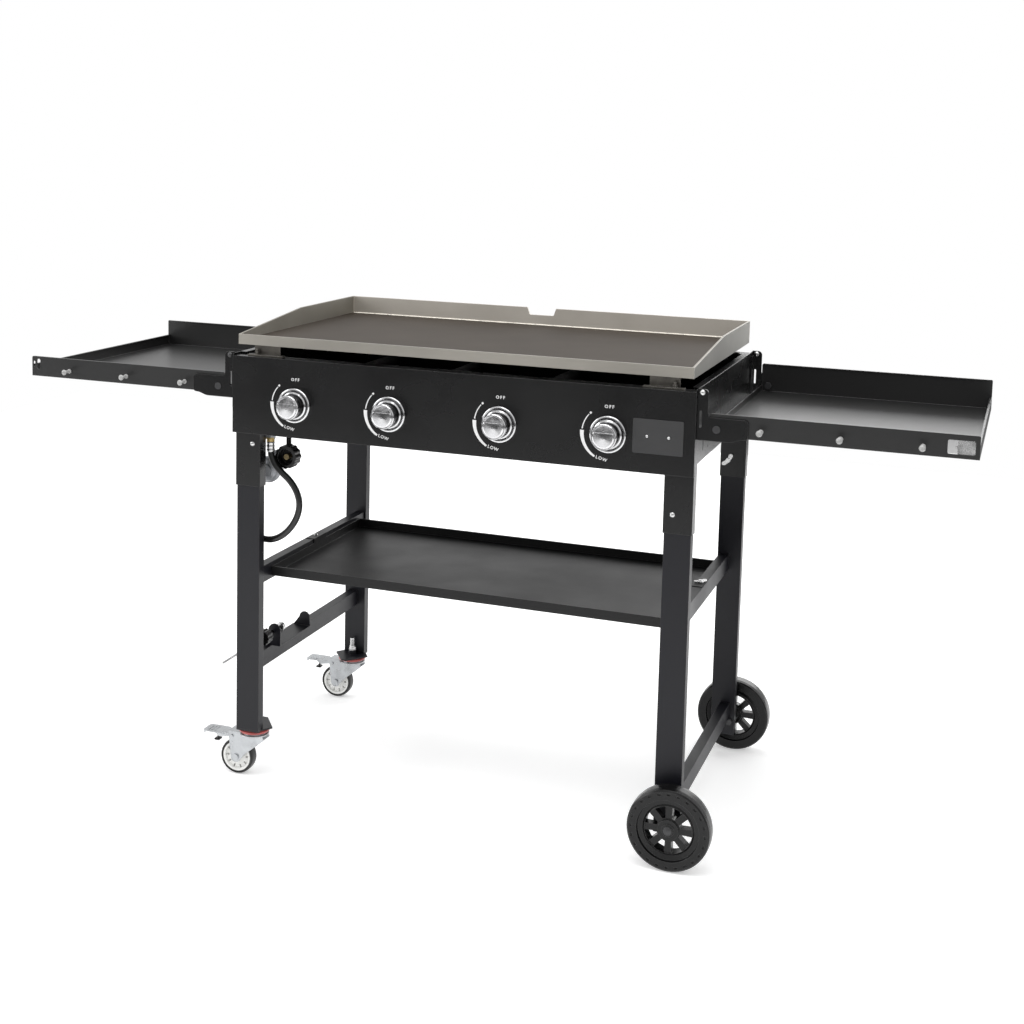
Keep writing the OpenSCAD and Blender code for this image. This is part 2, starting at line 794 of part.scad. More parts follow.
module shelf_left() {
    color([0.13, 0.13, 0.13]) place() mirror([1, 0, 0]) difference() {
        shelf_pan();
        // Two upright slots at the outer end of the front flange
        slab_xz(shelf_y0 - 1, shelf_y0 + sheet + 0.1)
            polygon(round_rect(shelf_x1 - 20, shelf_x1 - 12, shelf_z + 14, shelf_z + 36, 3.9));
        slab_xz(shelf_y0 - 1, shelf_y0 + sheet + 0.1)
            polygon(round_rect(shelf_x1 - 7.5, shelf_x1 - 3, shelf_z + 19, shelf_z + 31, 2.2));
    }
}

module shelf_right() {
    color([0.13, 0.13, 0.13]) place() difference() {
        shelf_pan();
        slab_xz(shelf_y0 - 1, shelf_y0 + sheet + 0.1)
            polygon(round_rect(opener_x - opener_w / 2, opener_x + opener_w / 2,
                               opener_z - opener_h / 2, opener_z + opener_h / 2, 3));
    }
}

// Steel bottle opener behind its cut-out: a plate with a toothed window
module bottle_opener() {
    y0 = shelf_y0 + sheet;
    x0 = opener_x - opener_w / 2;
    x1 = opener_x + opener_w / 2;
    win = x0 + opener_w * 0.36;
    color("whitesmoke") place() difference() {
        box(x0 - 5, x1 + 3, y0, y0 + 2, shelf_z + sheet + 3.2, flange_z - 3);
        slab_xz(y0 - 1, y0 + 3) polygon([
            [x0, opener_z - opener_h / 2], [win, opener_z - opener_h / 2], [win, opener_z - 3],
            [win - 4, opener_z], [win, opener_z + 3], [win, opener_z + opener_h / 2], [x0,
                opener_z + opener_h / 2]]);
    }
}

// A tool peg: a shank in the flange, a collar and a rounded head
module peg() {
    rotate([90, 0, 0]) rotate_extrude($fn = 32)
        polygon(concat([[0, -sheet - 1.5], [4, -sheet - 1.5], [4, -sheet], [2.5, -sheet], [2.5, 0],
            [4.5, 0], [4.5, 1.5],
                        [3, 2.5], [3, peg_out - 8], [peg_d / 2, peg_out - 6]],
                       arc(0, peg_out - 4 - peg_d * 0.3, peg_d / 2, 30, 90, 5)));
}

module pegs() {
    for (i = [0:2]) translate([pivot_x + peg_start + i * peg_pitch, shelf_y0, shelf_z + 15.5]) peg();
}

module shelf_pegs_right() {
    color("white") place() pegs();
}

module shelf_pegs_left() {
    color("white") place() mirror([1, 0, 0]) pegs();
}

// Legs

module tube(x0, x1, y0, y1, z0, z1, wall) {
    difference() {
        box(x0, x1, y0, y1, z0, z1);
        box(x0 + wall, x1 - wall, y0 + wall, y1 - wall, z0 - 1, z1 + 1);
    }
}

module leg(y0, z0, bolt_z, axle) {
    difference() {
        tube(leg_x0, leg_x1, y0, y0 + leg_d, z0, leg_top, leg_wall);
        rod_y(bolt_x, y0 - 1, y0 + leg_wall + 1, bolt_z, bolt_d + 2 * run);
        if (axle) rod_y(wheel_x, y0 - 1, y0 + leg_d + 1, wheel_d / 2, axle_d + 2 * run);
    }
}

module legs_left() {
    color([0.15, 0.15, 0.16]) place() mirror([1, 0, 0]) {
        leg(leg_front, caster_leg_z, bolt_high, false);
        leg(rear_leg_y, caster_leg_z, bolt_low, false);
    }
}

module legs_right() {
    color([0.15, 0.15, 0.16]) place() {
        leg(leg_front, wheel_leg_z, bolt_low, true);
        leg(rear_leg_y, wheel_leg_z, bolt_low, true);
    }
}

module leg_sleeve(y, bolt_z) {
    y0 = y - leg_wall;
    difference() {
        box(sleeve_x0, sleeve_x1, y0, y0 + leg_d + 2 * leg_wall, sleeve_low, sleeve_top);
        box(leg_x0 - run, leg_x1 + run, y - run, y + leg_d + run, sleeve_low - 1, sleeve_top + 1);
        rod_y(bolt_x, y0 - 1, y + 1, bolt_z, bolt_d + 2 * run);
    }
}

module leg_sleeves() {
    color([0.12, 0.12, 0.12]) place() {
        mirror([1, 0, 0]) leg_sleeve(leg_front, bolt_high);
        leg_sleeve(leg_front, bolt_low);
        both_sides() leg_sleeve(rear_leg_y, bolt_low);
    }
}

// A bolt with a domed head that faces -Y at y
module dome_bolt_y(x, y, z, len) {
    rod_y(x, y, y + len, z, bolt_d);
    translate([x, y, z]) rotate([90, 0, 0]) dome(11, 4);
}

// A wing bolt that faces -Y at y
module wing_bolt_y(x, y, z, len) {
    rod_y(x, y - 5, y + len, z, bolt_d);
    rod_y(x, y - 5, y, z, 10);
    translate([x, 0, z]) rotate([0, -50, 0]) slab_xz(y - 4, y - 1.6) polygon(concat(
        [[-4, -4]], arc(-11, 2, 4.5, 250, 90, 5), [[-4, 4], [4, 4]],
        arc(11, 2, 4.5, 90, -70, 5), [[4, -4]]));
}

module frame_bolts() {
    sleeve_face = leg_front - leg_wall;
    color("whitesmoke") place() {
        dome_bolt_y(-bolt_x, sleeve_face, bolt_high, 12);
        dome_bolt_y(bolt_x, sleeve_face, bolt_low, 12);
        for (b = badge_screws) {
            rod_y(b[0], badge_y, panel_y, b[1], 3);
            translate([b[0], badge_y, b[1]]) rotate([90, 0, 0]) dome(6, 2.4);
        }
        ear_bolt(bracket_front_y);
        both_sides() ear_bolt(bracket_rear_y);
        // Screw that holds the lower shelf's left tab on its rail
        rod_z(-(rail_x0 + bar_w / 2), shelf_tab_y, rail_top - 8, rail_top + tray_t, bolt_d - 1);
        translate([-(rail_x0 + bar_w / 2), shelf_tab_y, rail_top + tray_t]) dome(10, 3.6);
    }
}

module wing_bolts() {
    color("whitesmoke") place() {
        both_sides() wing_bolt_y(bolt_x, rear_leg_y - leg_wall, bolt_low, 12);
        translate([rail_x0 + bar_w / 2, shelf_tab_y, rail_top + tray_t]) {
            rotate([-90, 0, 0]) wing_bolt_y(0, 0, 0, 8 + tray_t);
        }
    }
}

// Lower shelf, rails and bars

module lower_shelf() {
    t = tray_t;
    z1 = tray_z + lip_h;
    x = tray_x;
    color([0.14, 0.14, 0.14]) place() difference() {
        union() {
            box(-x, x, tray_y0, tray_y1, tray_z, tray_z + t);
            box(-x, x, tray_y0, tray_y0 + t, tray_z, z1);
            box(-x + hem, x - hem, tray_y0, tray_y0 + hem, z1 - 2, z1);
            box(-x, x, tray_y1 - t, tray_y1, tray_z, z1);
            box(-x + hem, x - hem, tray_y1 - hem, tray_y1, z1 - 2, z1);
            both_sides() {
                box(x - t, x, tray_y0, tray_y1, tray_z, z1);
                // Tab that rises beside the rail and lies on its top
                box(x - t, x, shelf_tab_y - tab_len / 2, shelf_tab_y + tab_len / 2, tray_z, rail_top + t);
                box(x - t, rail_x1 - 2, shelf_tab_y - tab_len / 2, shelf_tab_y + tab_len / 2, rail_top,
                    rail_top + t);
            }
        }
        both_sides() rod_z(rail_x0 + bar_w / 2, shelf_tab_y, rail_top - 1, rail_top + t + 1,
            bolt_d + 2 * run);
    }
}

module shelf_rails() {
    y0 = leg_front + leg_d;
    color([0.15, 0.15, 0.16]) place() both_sides() difference() {
        tube_y(rail_x0, rail_x1, y0, rear_leg_y, rail_z, rail_top);
        rod_z(rail_x0 + bar_w / 2, shelf_tab_y, rail_top - leg_wall - 1, rail_top + 1, bolt_d + 2 * run);
    }
}

module tube_y(x0, x1, y0, y1, z0, z1) {
    difference() {
        box(x0, x1, y0, y1, z0, z1);
        box(x0 + leg_wall, x1 - leg_wall, y0 - 1, y1 + 1, z0 + leg_wall, z1 - leg_wall);
    }
}

module lower_bar_left() {
    color([0.15, 0.15, 0.16]) place()
        mirror([1, 0, 0]) tube_y(bar_x0, bar_x1, leg_front + leg_d, rear_leg_y, left_bar_z,
            left_bar_z + bar_h);
}

module lower_bar_right() {
    color([0.15, 0.15, 0.16]) place()
        tube_y(bar_x0, bar_x1, leg_front + leg_d, rear_leg_y, right_bar_z, right_bar_z + bar_h);
}

// Tank clamp and hook on the left lower bar

module tank_clamp() {
    z0 = left_bar_z + bar_h;
    x0 = -bar_x1 - 2;
    x1 = -bar_x0 + 20;
    color([0.14, 0.14, 0.14]) place() difference() {
        union() {
            box(x0, x1, clamp_y0, clamp_y1, z0, z0 + clamp_t);
            slab_xz(clamp_y0, clamp_y0 + clamp_t)
                polygon(concat([[x0, z0], [x1, z0]], arc(clamp_x + 4, clamp_z + 4, 14, 0, 180)));
            slab_xz(clamp_y1 - clamp_t, clamp_y1)
                polygon(concat([[x0, z0], [x1, z0]], arc(clamp_x + 4, clamp_z - 8, 12, 0, 180)));
            rod_y(clamp_x, clamp_y0, clamp_y0 + 10, clamp_z, 18);
        }
        rod_y(clamp_x, clamp_y0 - 1, clamp_y0 + 11, clamp_z, 8 + 2 * run);
    }
}

module clamp_screw() {
    lobes = 12;
    knob_r = 16;
    color([0.08, 0.08, 0.08]) place() translate([clamp_x, clamp_y0 - 46, clamp_z]) rotate([-90, 0, 0]) {
        linear_extrude(height = 20)
            polygon([for (a = [0:5:355]) [(knob_r - 0.8 + 0.8 * cos(lobes * a)) * cos(a),
                                          (knob_r - 0.8 + 0.8 * cos(lobes * a)) * sin(a)]]);
        translate([0, 0, 20]) cylinder(h = 4, d1 = 20, d2 = 14);
        cylinder(h = 80, d = 8);
    }
}

module clamp_foot() {
    y0 = clamp_y0 - 46 + 76;
    color("silver") place() difference() {
        rod_y(clamp_x, y0, y0 + 9, clamp_z, 20);
        rod_y(clamp_x, y0 - 1, y0 + 4 + run, clamp_z, 8 + 2 * run);
    }
}

module tank_hook() {
    d = 5;
    bend = 12;
    x_out = bar_x1 + 53;
    color("silver") place() mirror([1, 0, 0]) {
        rod_x(bar_x1, x_out - bend, hook_y, hook_z, d);
        rod_x(bar_x1, bar_x1 + 4, hook_y, hook_z, 14);
        translate([x_out - bend, hook_y - bend, hook_z])
            rotate_extrude(angle = 90) translate([bend, 0]) circle(d = d, $fn = 24);
        rod_y(x_out, 20, hook_y - bend, hook_z, d);
    }
}

// Big wheels

module wheel_axle() {
    r = wheel_d / 2;
    y1 = leg_front + leg_d;
    y0 = leg_front - wheel_gap - wheel_w;
    rod_y(wheel_x, y0, y1 + 5, r, axle_d);
    hex_y(wheel_x, y1, y1 + 5, r, axle_hex);
    translate([wheel_x, y0, r]) rotate([90, 0, 0]) dome(axle_d + 8, cap_t);
}

module at_both_wheels() {
    children();
    translate([0, 2 * cart_mid, 0]) mirror([0, 1, 0]) children();
}

module wheel_axles() {
    color("silver") place() at_both_wheels() wheel_axle();
}

// One window between two spokes, as an outline in the wheel's plane
function window(a) = concat(
    arc(0, 0, hub_r + 3, a - 180 / spokes + 15, a + 180 / spokes - 15, 2),
    arc(0, 0, rim_in + 0.6, a + 180 / spokes - 8.5, a - 180 / spokes + 8.5, 4));

module wheel() {
    r = wheel_d / 2;
    w = wheel_w;
    difference() {
        union() {
            // Tyre, rim band and hub in one moulding
            rotate_extrude($fn = 96) polygon([
                [tyre_in, 0], [r - 4, 0], [r - 1, 2.5], [r, w * 0.3], [r, w * 0.7], [r - 1, w - 2.5],
                [r - 4, w], [tyre_in, w], [tyre_in - 1.5, w - 6], [rim_in + 4, w - 8], [rim_in, w - 5],
                [rim_in, 5], [rim_in + 4, 8], [tyre_in - 1.5, 6]]);
            translate([0, 0, w * 0.22]) linear_extrude(height = w * 0.46) difference() {
                circle(r = rim_in + 1, $fn = 96);
                for (i = [0:spokes - 1]) polygon(window(360 * (i + 0.5) / spokes));
            }
            translate([0, 0, 2]) cylinder(h = w + wheel_gap - 2 - seat, r = hub_r * 0.62);
            translate([0, 0, 4]) cylinder(h = w - 8, r = hub_r);
            cylinder(h = 3, d = axle_d + 10);
        }
        translate([0, 0, -1]) cylinder(h = w + wheel_gap + 2, d = axle_d + 2 * run);
        for (i = [0:dashes - 1]) rotate([0, 0, 360 * i / dashes])
            translate([(tyre_in + r) / 2 - 1, -3.4, -1]) cube([4, 6.8, 3.4]);
    }
}

module wheel_front() {
    color([0.1, 0.1, 0.1]) place()
        translate([wheel_x, leg_front - wheel_gap - wheel_w, wheel_d / 2]) rotate([-90, 0, 0]) wheel();
}

module wheel_rear() {
    color([0.1, 0.1, 0.1]) place() at_rear_wheel()
        translate([wheel_x, leg_front - wheel_gap - wheel_w, wheel_d / 2]) rotate([-90, 0, 0]) wheel();
}

module at_rear_wheel() {
    translate([0, 2 * cart_mid, 0]) mirror([0, 1, 0]) children();
}

// Casters, drawn with the swivel axis at X = 0, Y = 0 and the trail along +X

module at_casters() {
    translate([-leg_x, swivel_front_y, 0]) children();
    translate([-leg_x, swivel_rear_y, 0]) children();
}

module caster_plates() {
    lobe = ring_d / 2 + 2;
    root = 2 - swivel_in;
    color([0.1, 0.1, 0.1]) place() {
        for (s = [[swivel_front_y, leg_front, 1], [swivel_rear_y, rear_leg_y, -1]]) difference() {
            union() {
                translate([0, 0, plate_low]) linear_extrude(height = caster_leg_z - plate_low) union() {
                    translate([-leg_x, s[0]]) scale([1, s[2]])
                        polygon([[-leg_w / 2, root], [-lobe - 7, 2], [-6, lobe + 13], [6, lobe + 13],
                                 [lobe + 7, 2], [leg_w / 2, root]]);
                    translate([-leg_x1, s[1]]) square([leg_w, leg_d]);
                }
                rod_z(-leg_x, s[0], caster_leg_z, caster_leg_z + 9, 18);
            }
            rod_z(-leg_x, s[0], plate_low - 1, caster_leg_z + 10, caster_stem_d + 2 * run);
        }
    }
}

module caster_stems() {
    color("gainsboro") place() at_casters() {
        rod_z(0, 0, fork_z - 4, caster_leg_z + stem_up, caster_stem_d);
        // Head that carries the fork, and the nut over the plate
        rod_z(0, 0, fork_z - 4, fork_z - seat, caster_stem_d + 10);
        translate([0, 0, caster_leg_z + 9]) cylinder(h = 8, d = 17, $fn = 6);
        rod_z(0, 0, caster_leg_z + 17, caster_leg_z + 20, 13);
    }
}

module dust_rings() {
    r = ring_d / 2;
    color("firebrick") place() at_casters() translate([0, 0, fork_z + fork_t + 3 + seat])
        rotate_extrude($fn = 64)
        polygon([[caster_stem_d / 2 + 2, 0], [r - 3, 0], [r, 2], [r, 5], [r - 5,
            plate_low - fork_z - fork_t - 3 - 2 * seat],
                 [caster_stem_d / 2 + 2, plate_low - fork_z - fork_t - 3 - 2 * seat]]);
}

module cheek_outline() {
    r = 11;
    polygon(concat([[-ring_d / 2 + 6, fork_z]],
                   [[-ring_d / 2 + 4, fork_z - 8], [trail - 20, caster_r + 8]],
                   arc(trail, caster_r, r, 200, 360, 8),
                   [[trail + 15, pedal_z - 6], [trail + 16, fork_z]]));
}

module fork() {
    head = caster_stem_d + 2 * run;
    difference() {
        union() {
            translate([0, 0, fork_z]) cylinder(h = fork_t, d = ring_d - 2, $fn = 64);
            box(0, trail + 16, -cheek_in - cheek_t, cheek_in + cheek_t, fork_z, fork_z + fork_t);
            translate([0, 0, fork_z + fork_t - eps]) cylinder(h = 3, d = ring_d - 14, $fn = 64);
            for (y = [-cheek_in - cheek_t, cheek_in]) slab_xz(y, y + cheek_t) cheek_outline();
        }
        rod_z(0, 0, fork_z - 1, fork_z + fork_t + 4, head);
        rod_y(trail, -cheek_in - cheek_t - 1, cheek_in + cheek_t + 1, caster_r, axle_d + 2 * run);
        rod_y(pedal_pivot, -cheek_in - cheek_t - 1, cheek_in + cheek_t + 1, pedal_z, pin_d + 2 * run);
    }
    // Axle bolt and pedal pin, riveted over outside the cheeks
    rod_y(trail, -cheek_in - cheek_t - 2, cheek_in + cheek_t + 2, caster_r, axle_d);
    for (y = [-cheek_in - cheek_t - 3, cheek_in + cheek_t + run]) rod_y(trail, y, y + 3 - run,
        caster_r, axle_d + 6);
    rod_y(pedal_pivot, -cheek_in - cheek_t - 1, cheek_in + cheek_t + 1, pedal_z, pin_d);
    for (y = [-cheek_in - cheek_t - 2, cheek_in + cheek_t + run]) rod_y(pedal_pivot, y, y + 2 - run,
        pedal_z, pin_d + 3);
}

module turned(y) {
    place() translate([-leg_x, y, 0]) rotate([0, 0, heading]) children();
}

module fork_front() {
    color("lightsteelblue") turned(swivel_front_y) fork();
}

module fork_rear() {
    color("lightsteelblue") turned(swivel_rear_y) fork();
}

module caster_disc() {
    r = caster_r - tread_t - run;
    w = caster_w - 3;
    translate([trail, 0, caster_r]) rotate([90, 0, 0]) translate([0, 0, -w / 2]) difference() {
        rotate_extrude($fn = 64) polygon([
            [axle_d / 2 + run, -1], [8, -1], [8, 3], [r - 6, 4.5], [r - 4, 0], [r, 0], [r, w], [r - 4, w],
            [r - 6, w - 4.5], [8, w - 3], [8, w + 1], [axle_d / 2 + run, w + 1]]);
        for (i = [0:9]) rotate([0, 0, 36 * i]) translate([r * 0.6, -1.6, -1]) cube([r * 0.24, 3.2, w + 2]);
    }
}

module caster_disc_front() {
    color("white") turned(swivel_front_y) caster_disc();
}

module caster_disc_rear() {
    color("white") turned(swivel_rear_y) caster_disc();
}

module caster_tread() {
    r = caster_r;
    w = caster_w / 2;
    translate([trail, 0, caster_r]) rotate([90, 0, 0]) rotate_extrude($fn = 72)
        polygon([[r - tread_t, -w + 1.5], [r - 2.5, -w], [r - 0.6, -w + 2.5], [r, -w * 0.4], [r, w * 0.4],
                 [r - 0.6, w - 2.5], [r - 2.5, w], [r - tread_t, w - 1.5]]);
}

module caster_tread_front() {
    color([0.1, 0.1, 0.1]) turned(swivel_front_y) caster_tread();
}

module caster_tread_rear() {
    color([0.1, 0.1, 0.1]) turned(swivel_rear_y) caster_tread();
}

// Stamped brake pedal with turned-down sides, hinged between the fork's cheeks
module brake_pedal() {
    t = 1.6;
    in_w = 2 * (cheek_in - 0.5);
    x1 = pedal_pivot + pedal_len;
    difference() {
        union() {
            translate([0, 0, pedal_z + 3]) linear_extrude(height = t) polygon(concat(
                [[pedal_pivot - 4, -in_w / 2], [trail + 22, -in_w / 2], [trail + 30, -pedal_w / 2]],
                arc(x1 - 7, -pedal_w / 2 + 7, 7, -90, 0), arc(x1 - 7, pedal_w / 2 - 7, 7, 0, 90),
                [[trail + 30, pedal_w / 2], [trail + 22, in_w / 2], [pedal_pivot - 4, in_w / 2]]));
            for (s = [-1, 1]) {
                slab_xz((s < 0) ? -in_w / 2 : in_w / 2 - t, (s < 0) ? -in_w / 2 + t : in_w / 2)
                    polygon(concat(arc(pedal_pivot, pedal_z, 4.6, 180, 340, 6),
                                   [[trail + 40, pedal_z - 6], [trail + 52, pedal_z + 3.5],
                                       [pedal_pivot - 4.6, pedal_z + 3.5]]));
            }
            // Turned-down toe at the tip
            box(x1 - t, x1, -pedal_w / 2 + 7, pedal_w / 2 - 7, pedal_z - 3, pedal_z + 3 + t);
            for (i = [0:2]) box(x1 - 12 - 7 * i, x1 - 9 - 7 * i, -pedal_w / 2 + 8, pedal_w / 2 - 8,
                                pedal_z + 3 + t - eps, pedal_z + 4 + t);
        }
        rod_y(pedal_pivot, -cheek_in, cheek_in, pedal_z, pin_d + 2 * run);
    }
}

module brake_pedal_front() {
    color("lightgray") turned(swivel_front_y) brake_pedal();
}

module brake_pedal_rear() {
    color("lightgray") turned(swivel_rear_y) brake_pedal();
}

// Gas hose, regulator and coupling nut

// Steps that the hose takes sideways, back and up from the fitting to the regulator
hose_steps = [
    [0, 0, 0], [0, 0, -14], [2, 0, -29], [10, 0, -46], [25, 0, -61], [43, 0, -76], [58, 0, -96], [65,
        0, -120],
    [61, 0, -146], [47, 0, -171], [26, 1, -191], [1, 2, -202], [-25, 4, -201], [-49, 9, -188], [-64,
        15, -166],
    [-69, 21, -141], [-65, 27, -117], [-56, 31, -97], [-50, 33, -89]
];
hose_route = [for (p = hose_steps) [hose_x, hose_y, fitting_z] + p];

// A smooth curve through the route, Catmull and Rom's way
function spline(p0, p1, p2, p3, t) = 0.5 * (2 * p1 + (p2 - p0) * t + (2 * p0 - 5 * p1 + 4 * p2 - p3) * t * t
    + (3 * p1 - p0 - 3 * p2 + p3) * t * t * t);
function route_at(p, u) = let (n = len(p) - 1, i = min(floor(u), n - 1))
    spline(p[max(i - 1, 0)], p[i], p[i + 1], p[min(i + 2, n)], u - i);
function unit(v) = v / norm(v);
function side_of(t) = unit(cross(t, [0, 1, 0.02]));

// Sweeps a round section along the points
module sweep(p, d, sides) {
    n = len(p);
    tangent = [for (i = [0:n - 1]) unit(p[min(i + 1, n - 1)] - p[max(i - 1, 0)])];
    rings = [for (i = [0:n - 1]) let (t = tangent[i], a = side_of(t), b = cross(t, a))
        for (k = [0:sides - 1]) p[i] + d / 2 * (a * cos(360 * k / sides) + b * sin(360 * k / sides))];
    walls = [for (i = [0:n - 2]) for (k = [0:sides - 1]) let (k1 = (k + 1) % sides)
        each [[i * sides + k, i * sides + k1, (i + 1) * sides + k1],
              [i * sides + k, (i + 1) * sides + k1, (i + 1) * sides + k]]];
    ends = [[for (k = [sides - 1:-1:0]) k], [for (k = [0:sides - 1]) (n - 1) * sides + k]];
    polyhedron(points = rings, faces = concat(walls, ends), convexity = 6);
}

module gas_hose() {
    steps = 30;
    n = len(hose_route) - 1;
    color([0.08, 0.08, 0.08]) place()
        sweep([for (i = [0:steps]) route_at(hose_route, n * i / steps)], hose_d, 10);
}

module regulator() {
    r = regulator_d / 2;
    y0 = regulator_y - regulator_t / 2;
    end = hose_route[len(hose_route) - 1];
    before = hose_route[len(hose_route) - 2];
    aim = unit(end - before);
    inlet_y = nut_y + nut_t + 14;
    color([0.55, 0.55, 0.58]) place() {
        translate([regulator_x, y0, regulator_z]) rotate([-90, 0, 0]) rotate_extrude($fn = 64)
            polygon([[0, 0], [r * 0.45, 0], [r * 0.5, 3], [r - 6, 6], [r - 2, 11], [r, 12], [r, 17],
                [r - 2, 18],
                     [r - 5, regulator_t - 2], [r * 0.4, regulator_t], [0, regulator_t]]);
        // Outlet barb towards the hose
        translate(end + 0.4 * aim) rotate([0, atan2(aim[0], aim[2]), 0]) cylinder(h = 22, d = hose_d - 2);
        // Inlet pipe to the coupling nut
        rod_x(regulator_x + r - 8, nut_x, inlet_y, nut_z, 12);
        translate([nut_x, inlet_y, nut_z]) sphere(d = 12);
        rod_y(nut_x, nut_y + 4, inlet_y, nut_z, 12);
        box(regulator_x + r - 16, regulator_x + r - 2, regulator_y - 4, inlet_y + 5, regulator_z - 4,
            nut_z + 5);
    }
}

module coupling_nut() {
    lobes = 12;
    r = nut_d / 2;
    color([0.07, 0.07, 0.07]) place() translate([nut_x, nut_y, nut_z]) rotate([-90, 0, 0]) difference() {
        linear_extrude(height = nut_t)
            polygon([for (a = [0:5:355]) [(r - 1 + cos(lobes * a)) * cos(a),
                                          (r - 1 + cos(lobes * a)) * sin(a)]]);
        translate([0, 0, -1]) cylinder(h = nut_t - 5, d = 34);
        translate([0, 0, -2]) cylinder(h = nut_t + 4, d = 12 + 2 * run);
    }
}

module regulator_strap() {
    y = nut_y + nut_t + 14;
    x = nut_x - 12;
    color([0.1, 0.1, 0.1]) place() difference() {
        union() {
            box(x - 5, x + 5, y - 1.5, y + 1.5, nut_z + 7, shield_z - 1.5);
            box(x - 5, x + 5, y - 9, y + 1.5, shield_z - 1.5, shield_z);
            rod_x(x - 5, x + 5, y, nut_z, 17);
        }
        rod_x(x - 6, x + 6, y, nut_z, 12 + 2 * run);
    }
}

// Grease cup: an open box with a rolled rim that hangs on the rear panel's rails
module grease_cup() {
    x = cup_w / 2;
    z0 = cup_top - cup_h;
    color("silver") place() difference() {
        union() {
            box(-x, x, cup_y0, cup_y1, z0, cup_top);
            both_sides() box(x - 1, x + 2, cup_y0, cup_y1, cup_top - cup_t + 0.1, cup_top);
            box(-x * 0.4, x * 0.4, cup_y1 - 0.5, cup_y1 + 3, cup_top - 14, cup_top - 10);
        }
        box(-x + cup_t, x - cup_t, cup_y0 + cup_t, cup_y1 - cup_t, z0 + cup_t, cup_top + 1);
    }
}

control_panel();
side_panel_left();
side_panel_right();
rear_panel();
heat_shield();
burners();
gas_manifold();
gas_valves();
spark_igniters();
bezels();
badge_plate();
hinge_brackets();
hinge_pins();
frame_bolts();
wing_bolts();
legs_left();
legs_right();
leg_sleeves();
lower_shelf();
shelf_rails();
lower_bar_left();
lower_bar_right();
tank_clamp();
tank_hook();
wheel_axles();
caster_plates();
caster_stems();
dust_rings();
gas_hose();
regulator();
regulator_strap();
griddle_plate();
griddle_feet();
knob_1();
knob_2();
knob_3();
knob_4();
valve_stem_1();
valve_stem_2();
valve_stem_3();
valve_stem_4();
shelf_left();
shelf_right();
shelf_pegs_left();
shelf_pegs_right();
bottle_opener();
wheel_front();
wheel_rear();
fork_front();
fork_rear();
caster_disc_front();
caster_disc_rear();
caster_tread_front();
caster_tread_rear();
brake_pedal_front();
brake_pedal_rear();
clamp_screw();
clamp_foot();
coupling_nut();
grease_cup();
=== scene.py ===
# %% [markdown]
# # A flat-top gas griddle on its cart
# The CAD model gives every plate, tube and wheel its place and size. This lesson gives them their finishes:
# black powder coat, bare griddle steel, chrome, zinc and rubber. It also adds the small things that a CAD model
# leaves out: the hose's smooth skin and crimped sleeves, the marks round the dials, the burners' ports, the weld
# bead along the back wall, the screw threads and the brake shoes.

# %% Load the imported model
import bpy
import bmesh
import math
from mathutils import Matrix, Vector


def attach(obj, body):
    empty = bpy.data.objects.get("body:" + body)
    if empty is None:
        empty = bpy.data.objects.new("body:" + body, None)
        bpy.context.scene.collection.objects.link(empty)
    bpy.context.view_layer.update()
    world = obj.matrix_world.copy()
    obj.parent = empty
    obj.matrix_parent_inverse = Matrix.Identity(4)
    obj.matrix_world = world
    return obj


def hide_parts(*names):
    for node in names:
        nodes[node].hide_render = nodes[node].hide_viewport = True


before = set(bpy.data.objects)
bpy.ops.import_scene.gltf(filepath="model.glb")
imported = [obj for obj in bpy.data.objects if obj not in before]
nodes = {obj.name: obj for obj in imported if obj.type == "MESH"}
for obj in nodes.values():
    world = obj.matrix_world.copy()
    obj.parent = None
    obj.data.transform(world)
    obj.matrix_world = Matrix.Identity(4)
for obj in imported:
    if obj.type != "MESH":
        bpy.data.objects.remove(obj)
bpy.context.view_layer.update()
FRONT_WALL = -0.2701  # the griddle's front wall, on the frame's y axis


def at(x, y, z):
    """A point given in millimetres from the griddle's front wall, as a place in the frame."""
    return Vector((x / 1000, y / 1000 + FRONT_WALL, z / 1000))


# %% [markdown]
# ## The camera
# The photograph was taken from the right of the cart, a little above the plate. A camera is a place and three
# directions: right, up, and the way it looks. Here the three directions come from a yaw, a pitch and a small roll,
# and fill the columns of the camera's matrix.

# %% Camera
stand = at(1023.81, -2643.19, 1325.24)
yaw = math.radians(20.185)
pitch = math.radians(-6.556)
roll = math.radians(1.2645)
look = Vector((-math.sin(yaw) * math.cos(pitch), math.cos(yaw) * math.cos(pitch), math.sin(pitch)))
right = Vector((math.cos(yaw), math.sin(yaw), 0))
up = right.cross(look)
rolled_right = right * math.cos(roll) + up * math.sin(roll)
rolled_up = up * math.cos(roll) - right * math.sin(roll)

camera_data = bpy.data.cameras.new("photo_camera")
camera_data.lens = 53.717
camera_data.sensor_width = 36
camera_data.shift_x = 0.03
camera_data.shift_y = -0.2
camera_data.clip_end = 60
camera = bpy.data.objects.new("photo_camera", camera_data)
turn = Matrix((rolled_right, rolled_up, -look)).transposed()
camera.matrix_world = Matrix.Translation(stand) @ turn.to_4x4()
bpy.context.scene.collection.objects.link(camera)
bpy.context.scene.camera = camera
print("camera at", [round(v, 3) for v in camera.location])

# %% [markdown]
# ## The room
# Dark gloss shows nothing but what it reflects, so a studio shot of a dark product needs a bright room. This world
# is white, a little dimmer on the viewer's side and dim below the horizon. Upright chrome and powder coat then have
# something dark to reflect, while the trays reflect the bright room. The camera itself sees plain white.

# %% World
scene = bpy.context.scene
world = bpy.data.worlds.new("studio")
world.use_nodes = True
room_tree = world.node_tree
background = room_tree.nodes["Background"]
background.inputs["Color"].default_value = (1.0, 1.0, 1.0, 1)


